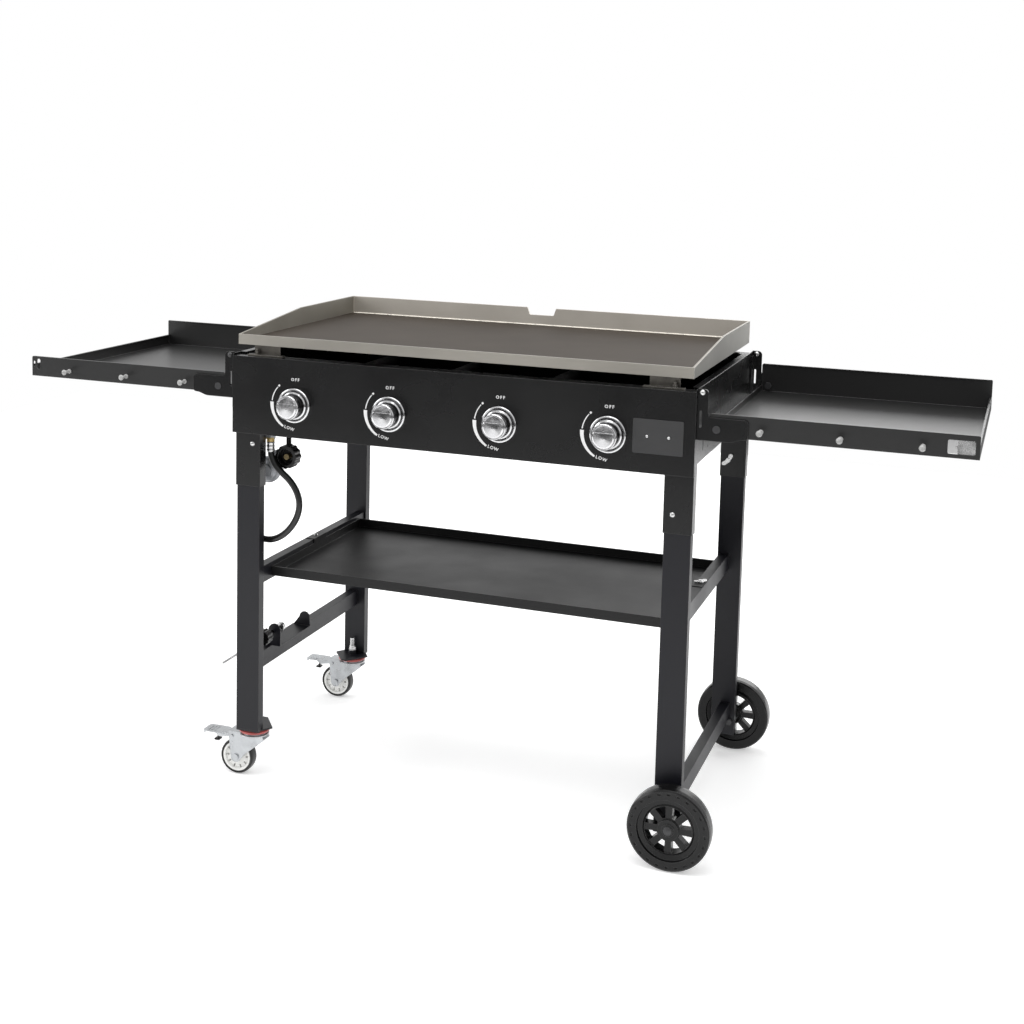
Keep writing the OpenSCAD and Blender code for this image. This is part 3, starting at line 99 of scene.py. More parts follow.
def map_range(tree, source, start, end, low, high):
    """A value that goes from low to high as the source goes from start to end."""
    ramp = tree.nodes.new("ShaderNodeMapRange")
    for label, value in (("From Min", start), ("From Max", end), ("To Min", low), ("To Max", high)):
        ramp.inputs[label].default_value = value
    tree.links.new(source, ramp.inputs["Value"])
    return ramp.outputs["Result"]


def combine(tree, operation, first, second):
    """The result of a maths node whose second input is a socket or a plain number."""
    maths = tree.nodes.new("ShaderNodeMath")
    maths.operation = operation
    tree.links.new(first, maths.inputs[0])
    if isinstance(second, float):
        maths.inputs[1].default_value = second
    else:
        tree.links.new(second, maths.inputs[1])
    return maths.outputs[0]


heading = room_tree.nodes.new("ShaderNodeTexCoord")
axes = room_tree.nodes.new("ShaderNodeSeparateXYZ")
room_tree.links.new(heading.outputs["Generated"], axes.inputs["Vector"])
viewer_side = map_range(room_tree, axes.outputs["Y"], start=-0.85, end=0.25, low=0.65, high=1.0)
under_horizon = map_range(room_tree, axes.outputs["Z"], start=-0.05, end=0.12, low=0.2, high=1.0)
seen = room_tree.nodes.new("ShaderNodeLightPath")
dimmed = combine(room_tree, "MULTIPLY", viewer_side, under_horizon)
strength = combine(room_tree, "MAXIMUM", dimmed, seen.outputs["Is Camera Ray"])
room_tree.links.new(strength, background.inputs["Strength"])
scene.world = world
scene.view_settings.view_transform = "Standard"
scene.view_settings.exposure = 0.0
print("world nodes:", len(room_tree.nodes))

# %% [markdown]
# ### The floor
# A square of white paper ends a few steps away, so that what lies past it is the dim part of the room. It glows a
# little, and so it turns as white as the room behind it and no horizon shows, while a soft shadow still falls on it.

# %% Floor
FLOOR_SPAN = 3.4  # half the side of the square, in metres
floor_corners = [(x * FLOOR_SPAN, y * FLOOR_SPAN, 0) for x, y in ((-1, -1), (1, -1), (1, 1), (-1, 1))]
floor_mesh = bpy.data.meshes.new("studio_floor")
floor_mesh.from_pydata(floor_corners, [], [(0, 1, 2, 3)])
floor = bpy.data.objects.new("studio_floor", floor_mesh)
floor.location.z = -0.0005  # just under the wheels
scene.collection.objects.link(floor)
paper = bpy.data.materials.new("studio_paper")
paper.use_nodes = True
paper_shader = paper.node_tree.nodes["Principled BSDF"]
paper_shader.inputs["Base Color"].default_value = (0.93, 0.93, 0.93, 1)
paper_shader.inputs["Roughness"].default_value = 0.9
paper_shader.inputs["Emission Color"].default_value = (1, 1, 1, 1)
paper_shader.inputs["Emission Strength"].default_value = 0.36
floor_mesh.materials.append(paper)
print("floor:", 2 * FLOOR_SPAN, "m square")

# %% [markdown]
# ### The lights
# Large lights give the soft shadows and broad highlights of a catalogue picture. One wide light hangs above, one
# stands at the left and a weak one far behind at the right.


# %% Lights
def area_light(name, place, target, size, watts):
    """A square light of that size in metres, turned towards a target."""
    data = bpy.data.lights.new(name, "AREA")
    data.shape = "SQUARE"
    data.size = size
    data.energy = watts
    light = bpy.data.objects.new(name, data)
    light.location = place
    light.rotation_euler = (Vector(target) - Vector(place)).to_track_quat("-Z", "Y").to_euler()
    scene.collection.objects.link(light)


middle = (0, 0, 0.6)
area_light("overhead", (0.3, -0.4, 3.6), middle, size=3.0, watts=75)
area_light("left_side", (-3.4, -1.6, 2.0), middle, size=2.2, watts=45)
area_light("far_right", (0.7, 3.9, 1.6), middle, size=1.8, watts=22)

# %% [markdown]
# ## A finish is more than a colour
# Each finish starts from the same few parts. Object coordinates feed two noise textures: a coarse one shifts the
# colour and the gloss from place to place, and a fine one becomes bumps, as orange peel, mill grain or moulding
# texture do on the real piece. Two helpers make the parts that every finish uses, a noise and a ramp of colour.

# %% Noise and colour
NOISE_LOW, NOISE_HIGH = 0.3, 0.7  # noise seldom leaves this range


def noise(tree, where, scale, detail):
    """The value of a noise texture at the coordinates of a socket."""
    texture = tree.nodes.new("ShaderNodeTexNoise")
    texture.inputs["Scale"].default_value = scale
    texture.inputs["Detail"].default_value = detail
    tree.links.new(where, texture.inputs["Vector"])
    return texture.outputs["Fac"]


def colour_ramp(tree, value, dark, light, start=0.0, end=1.0):
    """A colour that goes from dark to light as the value goes from start to end."""
    ramp = tree.nodes.new("ShaderNodeValToRGB")
    first, last = ramp.color_ramp.elements
    first.position = start
    last.position = end
    first.color = (*dark, 1)
    last.color = (*light, 1)
    tree.links.new(value, ramp.inputs["Fac"])
    return ramp.outputs["Color"]


print("noise is stretched from", NOISE_LOW, "to", NOISE_HIGH)

# %% [markdown]
# ### Painted edge highlights
# Coats and mouldings are painted paler along their edges, a painted highlight where light would catch them. The
# Bevel node gives the normal of a rounded edge. Where it turns away from the flat face's own normal there is an
# edge, and the paler painted colour goes there.

# %% Edges
# Here wear means the painted edge highlight: edges are painted paler, as if light caught them.
FLAT, ROUNDED = 0.99, 0.86  # how far the two normals agree where wear starts, and where it is full
EDGE_HIGHLIGHT_SHARE = 0.75


def lay_over(tree, share, under, colour):
    """A colour, plain or from a socket, mixed over another one by a share from 0 to 1."""
    mix = tree.nodes.new("ShaderNodeMix")
    mix.data_type = "RGBA"
    tree.links.new(share, mix.inputs["Factor"])
    tree.links.new(under, mix.inputs["A"])
    if isinstance(colour, tuple):
        mix.inputs["B"].default_value = (*colour, 1)
    else:
        tree.links.new(colour, mix.inputs["B"])
    return mix.outputs["Result"]


def paint_edge_highlights(tree, edge, colour, edge_highlight):
    """The colour with a paler painted highlight over it, where the rounded edge turns away from the flat face."""
    face = tree.nodes.new("ShaderNodeNewGeometry")
    agree = tree.nodes.new("ShaderNodeVectorMath")
    agree.operation = "DOT_PRODUCT"
    tree.links.new(edge.outputs["Normal"], agree.inputs[0])
    tree.links.new(face.outputs["Normal"], agree.inputs[1])
    share = map_range(tree, agree.outputs["Value"], FLAT, ROUNDED, 0.0, EDGE_HIGHLIGHT_SHARE)
    return lay_over(tree, share, colour, edge_highlight)


print("wear starts at", round(math.degrees(math.acos(FLAT))), "degrees of turn")

# %% [markdown]
# ### The recipe
# One function makes every finish. Its amounts and scales are what set the finishes apart: how far the colour and
# the gloss drift, how fine and how deep the grain is, how round the edges look, and the colour of their painted
# highlight.

# %% The shared recipe
LEAST_ROUGH = 0.02
BUMP_HEIGHT = 0.0004


def finish(name, colour, rough, metal=0.0, drift=0.15, drift_scale=6.0, grain=0.1, grain_scale=900.0,
           stretch=(1, 1, 1), rough_drift=0.06, specular=0.5, edge_radius=0.0008, edge_highlight=None):
    """A procedural material with drifting colour and gloss, a fine bump and, where a colour is given for the edges,
    a painted highlight along them.
    """
    material = bpy.data.materials.new(name)
    material.use_nodes = True
    tree = material.node_tree
    shader = tree.nodes["Principled BSDF"]
    shader.inputs["Metallic"].default_value = metal
    shader.inputs["Specular IOR Level"].default_value = specular

    where = tree.nodes.new("ShaderNodeTexCoord")
    mapping = tree.nodes.new("ShaderNodeMapping")
    mapping.inputs["Scale"].default_value = stretch
    tree.links.new(where.outputs["Object"], mapping.inputs["Vector"])
    clouds = noise(tree, mapping.outputs["Vector"], drift_scale, detail=5)
    peel = noise(tree, mapping.outputs["Vector"], grain_scale, detail=2)

    edge = tree.nodes.new("ShaderNodeBevel")
    edge.samples = 4
    edge.inputs["Radius"].default_value = edge_radius
    dark = [c * (1 - drift) for c in colour]
    light = [min(1, c * (1 + drift)) for c in colour]
    base = colour_ramp(tree, clouds, dark, light, NOISE_LOW, NOISE_HIGH)
    if edge_highlight:
        base = paint_edge_highlights(tree, edge, base, edge_highlight)
    tree.links.new(base, shader.inputs["Base Color"])

    gloss = map_range(tree, clouds, NOISE_LOW, NOISE_HIGH,
                      max(LEAST_ROUGH, rough - rough_drift), min(1, rough + rough_drift))
    tree.links.new(gloss, shader.inputs["Roughness"])

    bump = tree.nodes.new("ShaderNodeBump")
    bump.inputs["Strength"].default_value = grain
    bump.inputs["Distance"].default_value = BUMP_HEIGHT
    tree.links.new(edge.outputs["Normal"], bump.inputs["Normal"])
    tree.links.new(peel, bump.inputs["Height"])
    tree.links.new(bump.outputs["Normal"], shader.inputs["Normal"])
    return material


# The edge colour given to this coat is a painted highlight.
black_coat = finish("black_powder_coat", (0.0055, 0.0055, 0.0057), 0.27, drift=0.12, grain=0.16, grain_scale=1100,
                    specular=0.34, edge_radius=0.0014, edge_highlight=(0.09, 0.09, 0.09))
print("black powder coat:", len(black_coat.node_tree.nodes), "nodes")

# %% [markdown]
# ### Powder coats
# The cart is black all over, but not all alike. The panels are glossy, the legs and the lower shelf duller, and the
# side shelves in between. All have orange peel, the fine ripple of baked powder. The badge plate is a little lighter
# than its panel.

# %% Coats
# The edge colours of these coats are painted highlights.
tray_coat = finish("tray_powder_coat", (0.006, 0.006, 0.0062), 0.42, drift=0.12, grain=0.16, grain_scale=1100,
                   specular=0.3, edge_radius=0.0014, edge_highlight=(0.06, 0.06, 0.06))
leg_coat = finish("leg_powder_coat", (0.0045, 0.0045, 0.0075), 0.42, drift=0.1, grain=0.12, grain_scale=1100,
                  specular=0.34, edge_radius=0.0014, edge_highlight=(0.05, 0.05, 0.05))
shelf_coat = finish("shelf_powder_coat", (0.007, 0.007, 0.0071), 0.36, drift=0.08, rough_drift=0.015, grain=0.08,
                    grain_scale=1100, specular=0.62, edge_radius=0.0014, edge_highlight=(0.07, 0.07, 0.07))
badge_coat = finish("badge_coat", (0.032, 0.032, 0.033), 0.5, grain=0.05, grain_scale=1500)
print("coats:", len([m for m in bpy.data.materials if m.name.endswith("coat")]))

# %% [markdown]
# ### Plated and bare metals
# Chrome is smooth and a little wavy, zinc and nickel are softer and cloudy, and a casting keeps the grain of its
# mould. The steel of the burners and heat shield is dull, and painted near black as painted shade of the dark gap
# under the griddle.

# %% Metals
chrome = finish("bright_chrome", (0.64, 0.64, 0.65), 0.14, metal=1.0, drift=0.1, drift_scale=55, rough_drift=0.07,
                grain=0.05, grain_scale=120)
knob_chrome = finish("knob_chrome", (0.62, 0.62, 0.63), 0.16, metal=1.0, drift=0.12, drift_scale=70,
                     rough_drift=0.08, grain=0.08, grain_scale=140)
bolt_plate = finish("nickel_plate", (0.62, 0.62, 0.62), 0.26, metal=1.0, drift=0.08, drift_scale=60, grain=0.05)
dark_plate = finish("dark_plate", (0.05, 0.05, 0.052), 0.35, metal=0.4, drift=0.1, drift_scale=60, grain=0.06)
zinc_plate = finish("zinc_plate", (0.46, 0.475, 0.49), 0.3, metal=0.9, drift=0.16, drift_scale=40, grain=0.08,
                    grain_scale=500)
galvanized = finish("galvanized_sheet", (0.36, 0.37, 0.38), 0.42, metal=0.9, drift=0.12, drift_scale=90, grain=0.05)
# The feet's pale edge colour is a painted highlight.
foot_steel = finish("foot_steel", (0.15, 0.14, 0.125), 0.45, metal=0.8, drift=0.3, drift_scale=45, grain=0.08,
                    edge_highlight=(0.6, 0.58, 0.54))
# Burners and heat shield are painted near black: painted shade of the gap under the griddle.
gap_shaded = finish("sooted_steel", (0.014, 0.0135, 0.013), 0.7, drift=0.25, drift_scale=30, grain=0.1, specular=0.2)
gas_brass = finish("gas_brass", (0.6, 0.44, 0.18), 0.35, metal=1.0, drift=0.12, drift_scale=50, grain=0.08)
cast_alloy = finish("cast_alloy", (0.36, 0.37, 0.39), 0.45, metal=0.7, drift=0.12, drift_scale=70, grain=0.25,
                    grain_scale=700)
print("materials so far:", len(bpy.data.materials))

# %% [markdown]
# ### Mouldings, rubber and ceramic
# Moulded plastic is even in colour with a soft sheen. The black rubber of treads and hose is duller than the black
# moulding of the wheels, and the igniters' glazed ceramic is the glossiest.

# %% Mouldings
white_moulding = finish("white_moulding", (0.8, 0.8, 0.78), 0.4, drift=0.03, grain=0.03)
peg_moulding = finish("peg_moulding", (0.36, 0.36, 0.355), 0.24, drift=0.08, drift_scale=60, grain=0.03)
red_moulding = finish("red_moulding", (0.42, 0.085, 0.08), 0.35, drift=0.15, drift_scale=40, grain=0.03)
# The pale edge colours of the wheels and treads are painted highlights.
wheel_moulding = finish("black_moulding", (0.004, 0.004, 0.0042), 0.24, drift=0.1, specular=0.32, grain=0.12,
                        grain_scale=1500, edge_radius=0.0012, edge_highlight=(0.1, 0.1, 0.1))
tread_rubber = finish("tread_rubber", (0.005, 0.005, 0.005), 0.34, drift=0.15, specular=0.4, grain=0.15,
                      grain_scale=1300, edge_radius=0.0012, edge_highlight=(0.1, 0.1, 0.1))
hose_rubber = finish("hose_rubber", (0.005, 0.005, 0.005), 0.3, drift=0.1, grain=0.08, grain_scale=1600)
glazed = finish("glazed_ceramic", (0.82, 0.8, 0.75), 0.2, drift=0.03, grain=0.02)
print("materials:", len(bpy.data.materials))

# %% [markdown]
# ## A second colour inside a box
# One piece can carry more than one finish. A box in Object coordinates marks the place: the coordinates are moved
# and scaled until the box reaches from -1 to 1 on each axis, and a point is inside where the largest of the three,
# without its sign, is less than 1. There a mottled colour takes over, and a roughness where one is given.


# %% Boxes of colour
def box_share(tree, where, low, high):
    """A socket that is 1 between the two corners of a box and 0 outside it."""
    half = [(b - a) / 2 for a, b in zip(low, high)]
    fit = tree.nodes.new("ShaderNodeMapping")
    fit.inputs["Location"].default_value = [-(a + h) / h for a, h in zip(low, half)]
    fit.inputs["Scale"].default_value = [1 / h for h in half]
    tree.links.new(where, fit.inputs["Vector"])
    size = tree.nodes.new("ShaderNodeVectorMath")
    size.operation = "ABSOLUTE"
    tree.links.new(fit.outputs["Vector"], size.inputs[0])
    split = tree.nodes.new("ShaderNodeSeparateXYZ")
    tree.links.new(size.outputs["Vector"], split.inputs["Vector"])
    largest = combine(tree, "MAXIMUM", split.outputs["X"], split.outputs["Y"])
    largest = combine(tree, "MAXIMUM", largest, split.outputs["Z"])
    return combine(tree, "LESS_THAN", largest, 1.0)


def tint(material, low, high, dark, light, scale, rough=None):
    """Mixes in a mottled colour, and a roughness if given, between two corners of a box of Object coordinates."""
    tree = material.node_tree
    shader = tree.nodes["Principled BSDF"]
    where = tree.nodes.new("ShaderNodeTexCoord").outputs["Object"]
    inside = box_share(tree, where, low, high)
    mottle = colour_ramp(tree, noise(tree, where, scale, detail=6), dark, light)
    under = shader.inputs["Base Color"].links[0].from_socket
    tree.links.new(lay_over(tree, inside, under, mottle), shader.inputs["Base Color"])
    if rough:
        dull = tree.nodes.new("ShaderNodeMix")
        dull.inputs["B"].default_value = rough
        tree.links.new(inside, dull.inputs["Factor"])
        tree.links.new(shader.inputs["Roughness"].links[0].from_socket, dull.inputs["A"])
        tree.links.new(dull.outputs["Result"], shader.inputs["Roughness"])


FINE = 60  # the scale of a close mottle
# A chrome knob's side wall behind its cap is painted dark, a painted shade for the gap between cap and bezel; the
# hose fitting is brass, and the regulator's inlet nose a darker brass.
tint(knob_chrome, at(-400, -37, 740), at(400, -19.5, 840), (0.02, 0.02, 0.02), (0.05, 0.05, 0.05), FINE)
tint(galvanized, at(-414, 28, 699), at(-396, 48, 709), (0.42, 0.3, 0.12), (0.6, 0.45, 0.2), FINE)
tint(cast_alloy, at(-384, 48, 660), at(-368, 70, 676), (0.13, 0.1, 0.05), (0.24, 0.19, 0.1), FINE)
print("second colours: knobs, hose fitting, inlet nose")

# %% [markdown]
# ## Griddle steel
# The cooking plate and its walls are one welded piece of bare rolled steel, but they don't look alike: the plate is
# oiled, brown-grey and duller, and the walls are paler with a faint streak along the cart. The walls' faces are also
# painted lighter or darker by how light falls on them: painted shade on the left wall's inner face, painted light on
# the right wall's outer face, and the palest painted light on the back wall's inner face. The weld at its foot is
# bright metal with a painted highlight along the seam. Each of these gets its box of colour, so one material serves
# the whole piece.
# Most boxes end inside the wall whose face they colour, so that its other side keeps its own steel. The weld's box
# goes through the back wall, and its painted highlight shows behind it as a thin bright line.

# %% Griddle material
PLATE_TOP = 0.906
SKIN = 0.0005  # how far a box reaches past the plate's face
OVER = 1.0  # higher than every wall
COARSE = 12  # the scale of the mottle on the walls
FRONT_FACE = -0.2664  # just in front of the front wall's inner face
WALL_FACE = 0.2554  # just in front of the back wall's inner face

PLATE = (-0.4534, FRONT_FACE, PLATE_TOP - SKIN), (0.4534, WALL_FACE + 0.001, PLATE_TOP + SKIN)
LEFT_INSIDE_SHADE = (-0.46, FRONT_FACE, PLATE_TOP + SKIN), (-0.4527, WALL_FACE, OVER)
RIGHT_OUTSIDE_LIGHT = (0.4565, -0.3, PLATE_TOP - 0.008), (0.46, 0.3, OVER)
BACK_INSIDE_LIGHT = (-0.5, WALL_FACE - 0.001, PLATE_TOP + SKIN), (0.5, WALL_FACE + 0.0036, OVER)
WELD_AND_SEAM_HIGHLIGHT = (-0.44, WALL_FACE - 0.001, PLATE_TOP + SKIN), (0.46, 0.3, PLATE_TOP + 0.003)

griddle_steel = finish("griddle_steel", (0.38, 0.36, 0.322), 0.42, metal=0.75, drift=0.1, drift_scale=9,
                       stretch=(0.35, 1, 1), grain=0.12, grain_scale=380, rough_drift=0.05)
# Painted shade on the left wall's inside, painted light on the right wall's outside and the back wall's inside, and
# a painted highlight over the weld at the back wall's foot.
tint(griddle_steel, *LEFT_INSIDE_SHADE, (0.25, 0.236, 0.205), (0.32, 0.303, 0.265), COARSE)
tint(griddle_steel, *RIGHT_OUTSIDE_LIGHT, (0.52, 0.51, 0.48), (0.66, 0.65, 0.61), COARSE)
tint(griddle_steel, *PLATE, (0.036, 0.028, 0.021), (0.064, 0.051, 0.039), 7, rough=0.62)
tint(griddle_steel, *BACK_INSIDE_LIGHT, (0.62, 0.58, 0.52), (0.78, 0.74, 0.67), COARSE)
tint(griddle_steel, *WELD_AND_SEAM_HIGHLIGHT, (0.8, 0.76, 0.7), (1.0, 0.97, 0.9), FINE)
print("griddle steel:", len(griddle_steel.node_tree.nodes), "nodes")

# %% [markdown]
# ## Dressing the CAD pieces
# A CAD piece whose shape is right only needs its finish. This table names the pieces by what they're made of.

# %% Finishes by piece
FINISHES = {
    black_coat: ["control_panel", "side_panel_left", "side_panel_right", "rear_panel", "hinge_brackets",
                 "leg_sleeves", "regulator_strap"],
    shelf_coat: ["shelf_left", "shelf_right"],
    tray_coat: ["lower_shelf"],
    leg_coat: ["legs_left", "legs_right", "shelf_rails", "lower_bar_left", "lower_bar_right", "tank_clamp",
               "caster_plates"],
    badge_coat: ["badge_plate"],
    griddle_steel: ["griddle_plate"],
    galvanized: ["gas_manifold", "grease_cup"],
    foot_steel: ["griddle_feet"],
    # The burners and heat shield get the near-black painted shade.
    gap_shaded: ["burners", "heat_shield"],
    bolt_plate: ["frame_bolts", "wing_bolts", "caster_stems", "tank_hook", "clamp_foot", "bottle_opener"],
    dark_plate: ["hinge_pins", "wheel_axles"],
    gas_brass: ["gas_valves", "valve_stem_1", "valve_stem_2", "valve_stem_3", "valve_stem_4"],
    chrome: ["bezels"],
    knob_chrome: ["knob_1", "knob_2", "knob_3", "knob_4"],
    glazed: ["spark_igniters"],
    cast_alloy: ["regulator"],
    zinc_plate: ["fork_front", "fork_rear", "brake_pedal_front", "brake_pedal_rear"],
    white_moulding: ["caster_disc_front", "caster_disc_rear"],
    peg_moulding: ["shelf_pegs_left", "shelf_pegs_right"],
    red_moulding: ["dust_rings"],
    wheel_moulding: ["wheel_front", "wheel_rear", "clamp_screw", "coupling_nut"],
    tread_rubber: ["caster_tread_front", "caster_tread_rear"],
}
for material, names in FINISHES.items():
    for name in names:
        mesh = nodes[name].data
        mesh.materials.clear()
        mesh.materials.append(material)
print("dressed:", sum(len(names) for names in FINISHES.values()))

# %% [markdown]
# ## The gas hose
# A gas hose is smooth rubber. It keeps the CAD model's route, and is made as a mesh tube: a smooth curve through
# the route's points, with a ring of points square to it at every step.

# %% Tube and route
ASIDE = Vector((0, 1, 0.02))  # never along the hose, whose loop is upright


def smooth_path(points, steps):
    """A curve through the points, each stretch cut into equal steps."""
    path = []
    last = len(points) - 1
    for i in range(last):
        a, b = points[max(i - 1, 0)], points[i]
        c, d = points[i + 1], points[min(i + 2, last)]
        for k in range(steps):
            t = k / steps
            path.append(0.5 * (2 * b + (c - a) * t + (2 * a - 5 * b + 4 * c - d) * t * t
                               + (3 * b - a - 3 * c + d) * t ** 3))
    return path + [points[-1]]


def tube_mesh(name, path, radii, sides=24):
    """A closed tube along a path, with a radius at each point."""
    verts, faces = [], []
    for i, p in enumerate(path):
        ahead = (path[min(i + 1, len(path) - 1)] - path[max(i - 1, 0)]).normalized()
        out = ahead.cross(ASIDE).normalized()
        side = ahead.cross(out)
        for k in range(sides):
            a = 2 * math.pi * k / sides
            verts.append(p + radii[i] * (math.cos(a) * out + math.sin(a) * side))
    for i in range(len(path) - 1):
        for k in range(sides):
            k1 = (k + 1) % sides
            faces.append((i * sides + k, i * sides + k1, (i + 1) * sides + k1, (i + 1) * sides + k))
    faces.append(tuple(range(sides))[::-1])
    faces.append(tuple((len(path) - 1) * sides + k for k in range(sides)))
    mesh = bpy.data.meshes.new(name)
    mesh.from_pydata(verts, [], faces)
    for polygon in mesh.polygons:
        polygon.use_smooth = len(polygon.vertices) == 4
    return mesh


FITTING = (-405, 38, 700)  # where the hose leaves the manifold, in millimetres
# The route from there, each place counted from the fitting.
HOSE_ROUTE = [(0, 0, 0), (0, 0, -14), (2, 0, -29), (10, 0, -46), (25, 0, -61), (43, 0, -76), (58, 0, -96),
              (65, 0, -120), (61, 0, -146), (47, 0, -171), (26, 1, -191), (1, 2, -202), (-25, 4, -201),
              (-49, 9, -188), (-64, 15, -166), (-69, 21, -141), (-65, 27, -117), (-56, 31, -97), (-50, 33, -89)]
hose_points = [at(*(f + step for f, step in zip(FITTING, place))) for place in HOSE_ROUTE]
hose_path = smooth_path(hose_points, steps=8)

# %% [markdown]
# ### Its rubber skin
# The tube stands for the CAD model's hose, rides on the same body and takes a plain material slot. A helper puts
# any finished mesh in the scene, and serves for all the pieces that follow.

# %% Hose
HOSE_RADIUS = 0.0065  # metres


def add_piece(mesh, material, body):
    """Puts a finished mesh in the scene and lets it ride on a body."""
    mesh.materials.clear()
    mesh.materials.append(material)
    piece = bpy.data.objects.new(mesh.name, mesh)
    scene.collection.objects.link(piece)
    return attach(piece, body)


hose = add_piece(tube_mesh("hose_skin", hose_path, [HOSE_RADIUS] * len(hose_path)), hose_rubber, "cart")
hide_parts("gas_hose")
print("hose:", len(hose.data.polygons), "faces")

# %% [markdown]
# ### Crimped sleeves
# A sleeve is a short steel tube, squeezed on the hose in two grooves. It is the same mesh tube as the hose, along
# the hose's own first and last points, a little wider, with two narrow places.

# %% Sleeves
LIP, CREST, GROOVE = 0.0070, 0.0082, 0.0075  # radii in metres
SLEEVE_RADII = [LIP] + 2 * (3 * [CREST] + [GROOVE]) + 3 * [CREST] + [LIP]
ends = {"upper": hose_path[:len(SLEEVE_RADII)], "lower": hose_path[-len(SLEEVE_RADII):]}
for label, stretch in ends.items():
    sleeve = add_piece(tube_mesh("hose_sleeve_" + label, stretch, SLEEVE_RADII), bolt_plate, "cart")

# %% [markdown]
# ## Marks round the dials
# The panel is printed round each knob: a word above for off, an arc down the left side that starts as a dot and a
# thin line and turns into a thick band, and a word below for the low flame. Words and arc are flat shapes. Two
# helpers draw them round a knob at the origin, with sizes in millimetres.

# %% Arcs and words
DIAL_RADIUS = 50
LETTER_HEIGHT = 6.2
SIZE_BY_HEIGHT = 1.35  # a font's size, divided by the height of its capitals


def band(verts, faces, start, end, width0, width1, steps):
    """Part of the dial's ring, between two angles in degrees, with a width that changes along it."""
    first = len(verts)
    for i in range(steps + 1):
        t = i / steps
        a = math.radians(start + (end - start) * t)
        half = (width0 + (width1 - width0) * t) / 2
        for r in (DIAL_RADIUS - half, DIAL_RADIUS + half):
            verts.append((r * math.cos(a) / 1000, 0, r * math.sin(a) / 1000))
    for i in range(steps):
        k = first + 2 * i
        faces.append((k, k + 2, k + 3, k + 1))


def word(text, x, z, tilt, spacing):
    """A flat word in the panel's plane, facing the front."""
    curve = bpy.data.curves.new("word", "FONT")
    curve.body = text
    curve.align_x = "CENTER"
    curve.align_y = "CENTER"
    curve.size = LETTER_HEIGHT / 1000 * SIZE_BY_HEIGHT
    curve.space_character = spacing
    curve.offset = 0.0002  # makes the strokes bolder
    curve.resolution_u = 3
    letters = bpy.data.objects.new("word", curve)
    scene.collection.objects.link(letters)
    mesh = bpy.data.meshes.new_from_object(letters)
    bpy.data.objects.remove(letters)
    mesh.transform(Matrix.Translation((x / 1000, 0, z / 1000)) @ Matrix.Rotation(math.radians(-tilt), 4, "Y")
                   @ Matrix.Rotation(math.radians(90), 4, "X"))
    return mesh


verts, faces = [], []
band(verts, faces, 138, 173, 1.8, 2.2, steps=24)
band(verts, faces, 176, 240, 7.4, 3.8, steps=24)
band(verts, faces, 131, 135.5, 3.8, 3.8, steps=4)
arcs = bpy.data.meshes.new("arcs")
arcs.from_pydata(verts, [], faces)
words = [word("OFF", 0.5, 50, tilt=0, spacing=1.4), word("LOW", -12, -46.5, tilt=-15, spacing=1.25)]
print("arcs:", len(arcs.polygons), "faces, words:", [len(mesh.polygons) for mesh in words])

# %% [markdown]
# ### One pattern
# The arcs and the words are joined into one mesh, with every face turned to the front. It is drawn once, and a copy
# goes to each dial.

# %% Marks of one dial
one_dial = bmesh.new()
for mesh in [arcs] + words:
    one_dial.from_mesh(mesh)
bmesh.ops.recalc_face_normals(one_dial, faces=one_dial.faces)
for face in one_dial.faces:
    if face.normal.y > 0:
        face.normal_flip()
dial_mesh = bpy.data.meshes.new("dial_pattern")
one_dial.to_mesh(dial_mesh)
one_dial.free()
dial_pattern = bpy.data.objects.new("dial_pattern", dial_mesh)
print("one dial:", len(dial_mesh.polygons), "faces")

# %% [markdown]
# ## Copies by Geometry Nodes
# Many pieces here repeat: marks, burner ports, weld ripples, threads. One small tree serves them all. It takes a
# mesh whose points are the places, and sets a copy of a pattern object on each. Realize Instances turns the copies
# into real mesh, and Set Material gives them their finish. The result is then kept as a plain mesh.


# %% The copying tree
def copying_tree(name, material):
    """A node tree that sets a copy of its Pattern object on each point of its mesh, and its Pattern socket."""
    tree = bpy.data.node_groups.new(name + "_tree", "GeometryNodeTree")
    tree.interface.new_socket("Places", in_out="INPUT", socket_type="NodeSocketGeometry")
    pattern_in = tree.interface.new_socket("Pattern", in_out="INPUT", socket_type="NodeSocketObject")
    tree.interface.new_socket("Copies", in_out="OUTPUT", socket_type="NodeSocketGeometry")
    start = tree.nodes.new("NodeGroupInput")
    end = tree.nodes.new("NodeGroupOutput")
    info = tree.nodes.new("GeometryNodeObjectInfo")
    spread = tree.nodes.new("GeometryNodeInstanceOnPoints")
    real = tree.nodes.new("GeometryNodeRealizeInstances")
    paint = tree.nodes.new("GeometryNodeSetMaterial")
    paint.inputs["Material"].default_value = material
    tree.links.new(start.outputs["Places"], spread.inputs["Points"])
    tree.links.new(start.outputs["Pattern"], info.inputs["Object"])
    tree.links.new(info.outputs["Geometry"], spread.inputs["Instance"])
    tree.links.new(spread.outputs["Instances"], real.inputs["Geometry"])
    tree.links.new(real.outputs["Geometry"], paint.inputs["Geometry"])
    tree.links.new(paint.outputs["Geometry"], end.inputs["Copies"])
    return tree, pattern_in.identifier


